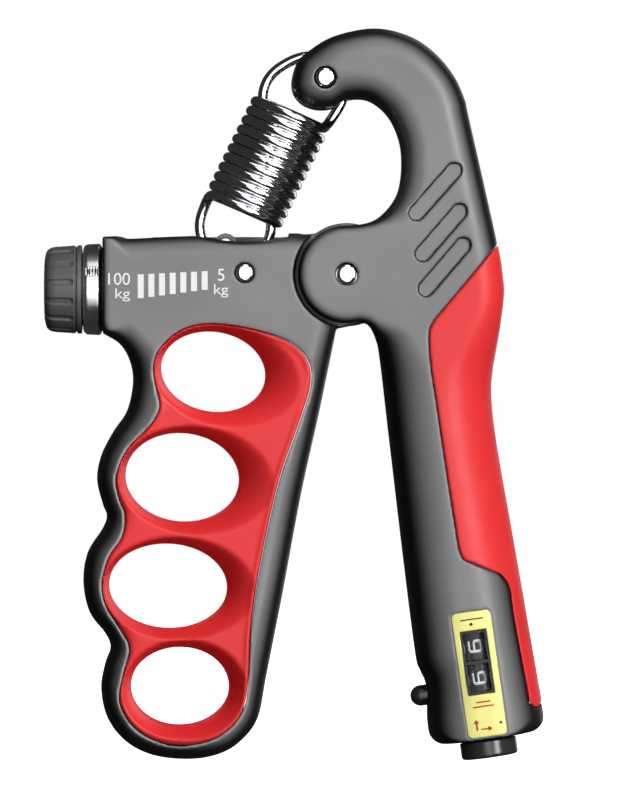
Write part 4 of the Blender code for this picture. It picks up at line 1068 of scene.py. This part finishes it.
# Strokes of each digit, one wide and 1.6 high.
DIGITS = {
    0: [[(0.5, 1.6), (0, 1.6), (0, 0), (1, 0), (1, 1.6), (0.5, 1.6)]],
    1: [[(0.15, 1.25), (0.6, 1.6), (0.6, 0)]],
    2: [[(0, 1.35), (0, 1.6), (1, 1.6), (1, 0.9), (0, 0.25), (0, 0), (1, 0)]],
    3: [[(0, 1.6), (1, 1.6), (1, 0.85), (0.35, 0.85)], [(1, 0.85), (1, 0), (0, 0)]],
    4: [[(0.25, 1.6), (0, 0.55), (1, 0.55)], [(0.75, 1.0), (0.75, 0)]],
    5: [[(1, 1.6), (0, 1.6), (0, 0.95), (1, 0.95), (1, 0), (0, 0)]],
    6: [[(0.95, 1.6), (0, 1.6), (0, 0), (1, 0), (1, 0.95), (0, 0.95)]],
    7: [[(0, 1.6), (1, 1.6), (0.35, 0)]],
    8: [[(0.5, 1.6), (0, 1.6), (0, 0), (1, 0), (1, 1.6), (0.5, 1.6)], [(0, 0.85), (1, 0.85)]],
    9: [[(0.05, 0), (1, 0), (1, 1.6), (0, 1.6), (0, 0.7), (1, 0.7)]],
}
SHOWN_AT_REST = 6
DIGIT_WIDTH = 2.35
DIGIT_HEIGHT = 1.7
DIGIT_STROKE = 0.27


def number_band(name, span, body):
    """Ten white digits round a wheel, lying on their sides; the wheel shows its six at rest."""
    middle = (span[0] + span[1]) / 2
    points, quads = [], []
    for digit, strokes in DIGITS.items():
        turn = (digit - SHOWN_AT_REST) * math.radians(36)

        def on_wheel(u, v, height, turn=turn):
            angle = -(v - 0.8) * DIGIT_HEIGHT / WHEEL_R + turn
            radius = WHEEL_R + 0.01 + height
            along = middle + (u - 0.5) * DIGIT_WIDTH
            local = Vector((radius * math.sin(angle), -radius * math.cos(angle), along))
            return (axle @ (local * MM)) / MM

        some_points, some_quads = ribbon(strokes, DIGIT_STROKE, 0.04, on_wheel)
        quads.append(some_quads + sum(len(p) for p in points))
        points.append(some_points)
    mesh = mesh_from(name, np.concatenate(points) * MM, np.concatenate(quads))
    show(name, face_outwards(mesh), WHITE, body)


number_band("units_numbers", UNITS_S, "units")
number_band("tens_numbers", TENS_S, "tens")


# The force scale printed on the grip.


GRIP_PRINT_Y = -HALF_DEPTH - 0.01


def on_grip(u, v, height):
    return np.array((u, GRIP_PRINT_Y - height, v))


# Seven bars that get shorter towards the light end, between the two ends' numbers.
bars = []
for i in range(7):
    x = -34.55 + 2.391 * i
    bars.append([(x, 104.55 + 0.315 * i), (x, 109.1 + 0.12 * i)])
add_print("scale_bars", bars, 1.35, WHITE, "finger_grip", on_grip)
for name, text, size, centre in (
    ("scale_high", "100", (4.9, 2.7), (-39.4, 108.5)),
    ("scale_high_unit", "kg", (3.3, 2.9), (-38.6, 104.9)),
    ("scale_low", "5", (1.5, 2.7), (-16.5, 109.4)),
    ("scale_low_unit", "kg", (3.2, 3.0), (-16.5, 105.8)),
):
    print_text(name, text, size, centre, WHITE, "finger_grip", GRIP_PRINT_Y)


# The stage, the lights and the camera.


def stage_material():
    material, nodes, links, shader = new_material("pale_floor")
    stops = ((0.3, (0.93, 0.93, 0.93)), (0.7, (0.96, 0.96, 0.96)))
    links.new(ramp(nodes, links, noise(nodes, links, 8), stops), shader.inputs["Base Color"])
    shader.inputs["Roughness"].default_value = 0.9
    shader.inputs["Emission Color"].default_value = (1, 1, 1, 1)
    shader.inputs["Emission Strength"].default_value = 1.0
    return material


# The floor is a little below the object, since the right handle's end swings lower as it closes.
FLOOR_Z = -0.006
bpy.ops.mesh.primitive_plane_add(size=60, location=(0, 0, FLOOR_Z))
floor = bpy.context.object
floor.name = "floor"
floor.data.materials.append(stage_material())
floor.visible_diffuse = False
floor.visible_glossy = False


def soft_light(name, place, target, size, power):
    light = bpy.data.lights.new(name, "AREA")
    light.shape = "RECTANGLE"
    light.size, light.size_y = size
    light.energy = power
    obj = bpy.data.objects.new(name, light)
    bpy.context.scene.collection.objects.link(obj)
    obj.location = place
    obj.rotation_euler = (Vector(target) - Vector(place)).to_track_quat("-Z", "Y").to_euler()
    return obj


MIDDLE = (0.0057, 0.0, 0.0813)
soft_light("key", (0.72, -1.05, 0.30), MIDDLE, (0.4, 1.1), 20)
soft_light("front", (-0.15, -1.5, 0.20), MIDDLE, (0.5, 1.2), 3.5)
soft_light("overhead", (0.15, -0.55, 1.15), MIDDLE, (0.6, 0.5), 2.5)
back = soft_light("back", (-0.6, 1.1, 0.5), MIDDLE, (0.6, 0.8), 14)
back.visible_glossy = False
for name, place, size, power in (
    ("front_card", (0.15, -1.7, 0.15), (0.8, 2.8), 14),
    ("back_card", (0.8, 1.5, 0.7), (0.8, 2.2), 5),
):
    card = soft_light(name, place, MIDDLE, size, power)
    card.visible_diffuse = False

world = bpy.data.worlds.new("studio")
bpy.context.scene.world = world
world.use_nodes = True
nodes, links = world.node_tree.nodes, world.node_tree.links
background = nodes["Background"]
background.inputs["Color"].default_value = (1, 1, 1, 1)
rays = nodes.new("ShaderNodeLightPath")
strength = nodes.new("ShaderNodeMapRange")
strength.inputs["To Min"].default_value = 0.03
strength.inputs["To Max"].default_value = 1.0
links.new(rays.outputs["Is Camera Ray"], strength.inputs["Value"])
links.new(strength.outputs["Result"], background.inputs["Strength"])

bpy.context.scene.view_settings.view_transform = "Standard"

FAR_AWAY = 1.8
VIEW_HEIGHT = 0.1796
camera = bpy.data.cameras.new("camera")
camera.sensor_fit = "VERTICAL"
camera.sensor_height = 36
camera.lens = camera.sensor_height * FAR_AWAY / VIEW_HEIGHT
camera.clip_end = 20
view = bpy.data.objects.new("camera", camera)
bpy.context.scene.collection.objects.link(view)
view.location = (MIDDLE[0], -FAR_AWAY - HALF_DEPTH * MM, MIDDLE[2])
view.rotation_euler = (math.pi / 2, 0, 0)
bpy.context.scene.camera = view

bpy.context.view_layer.update()
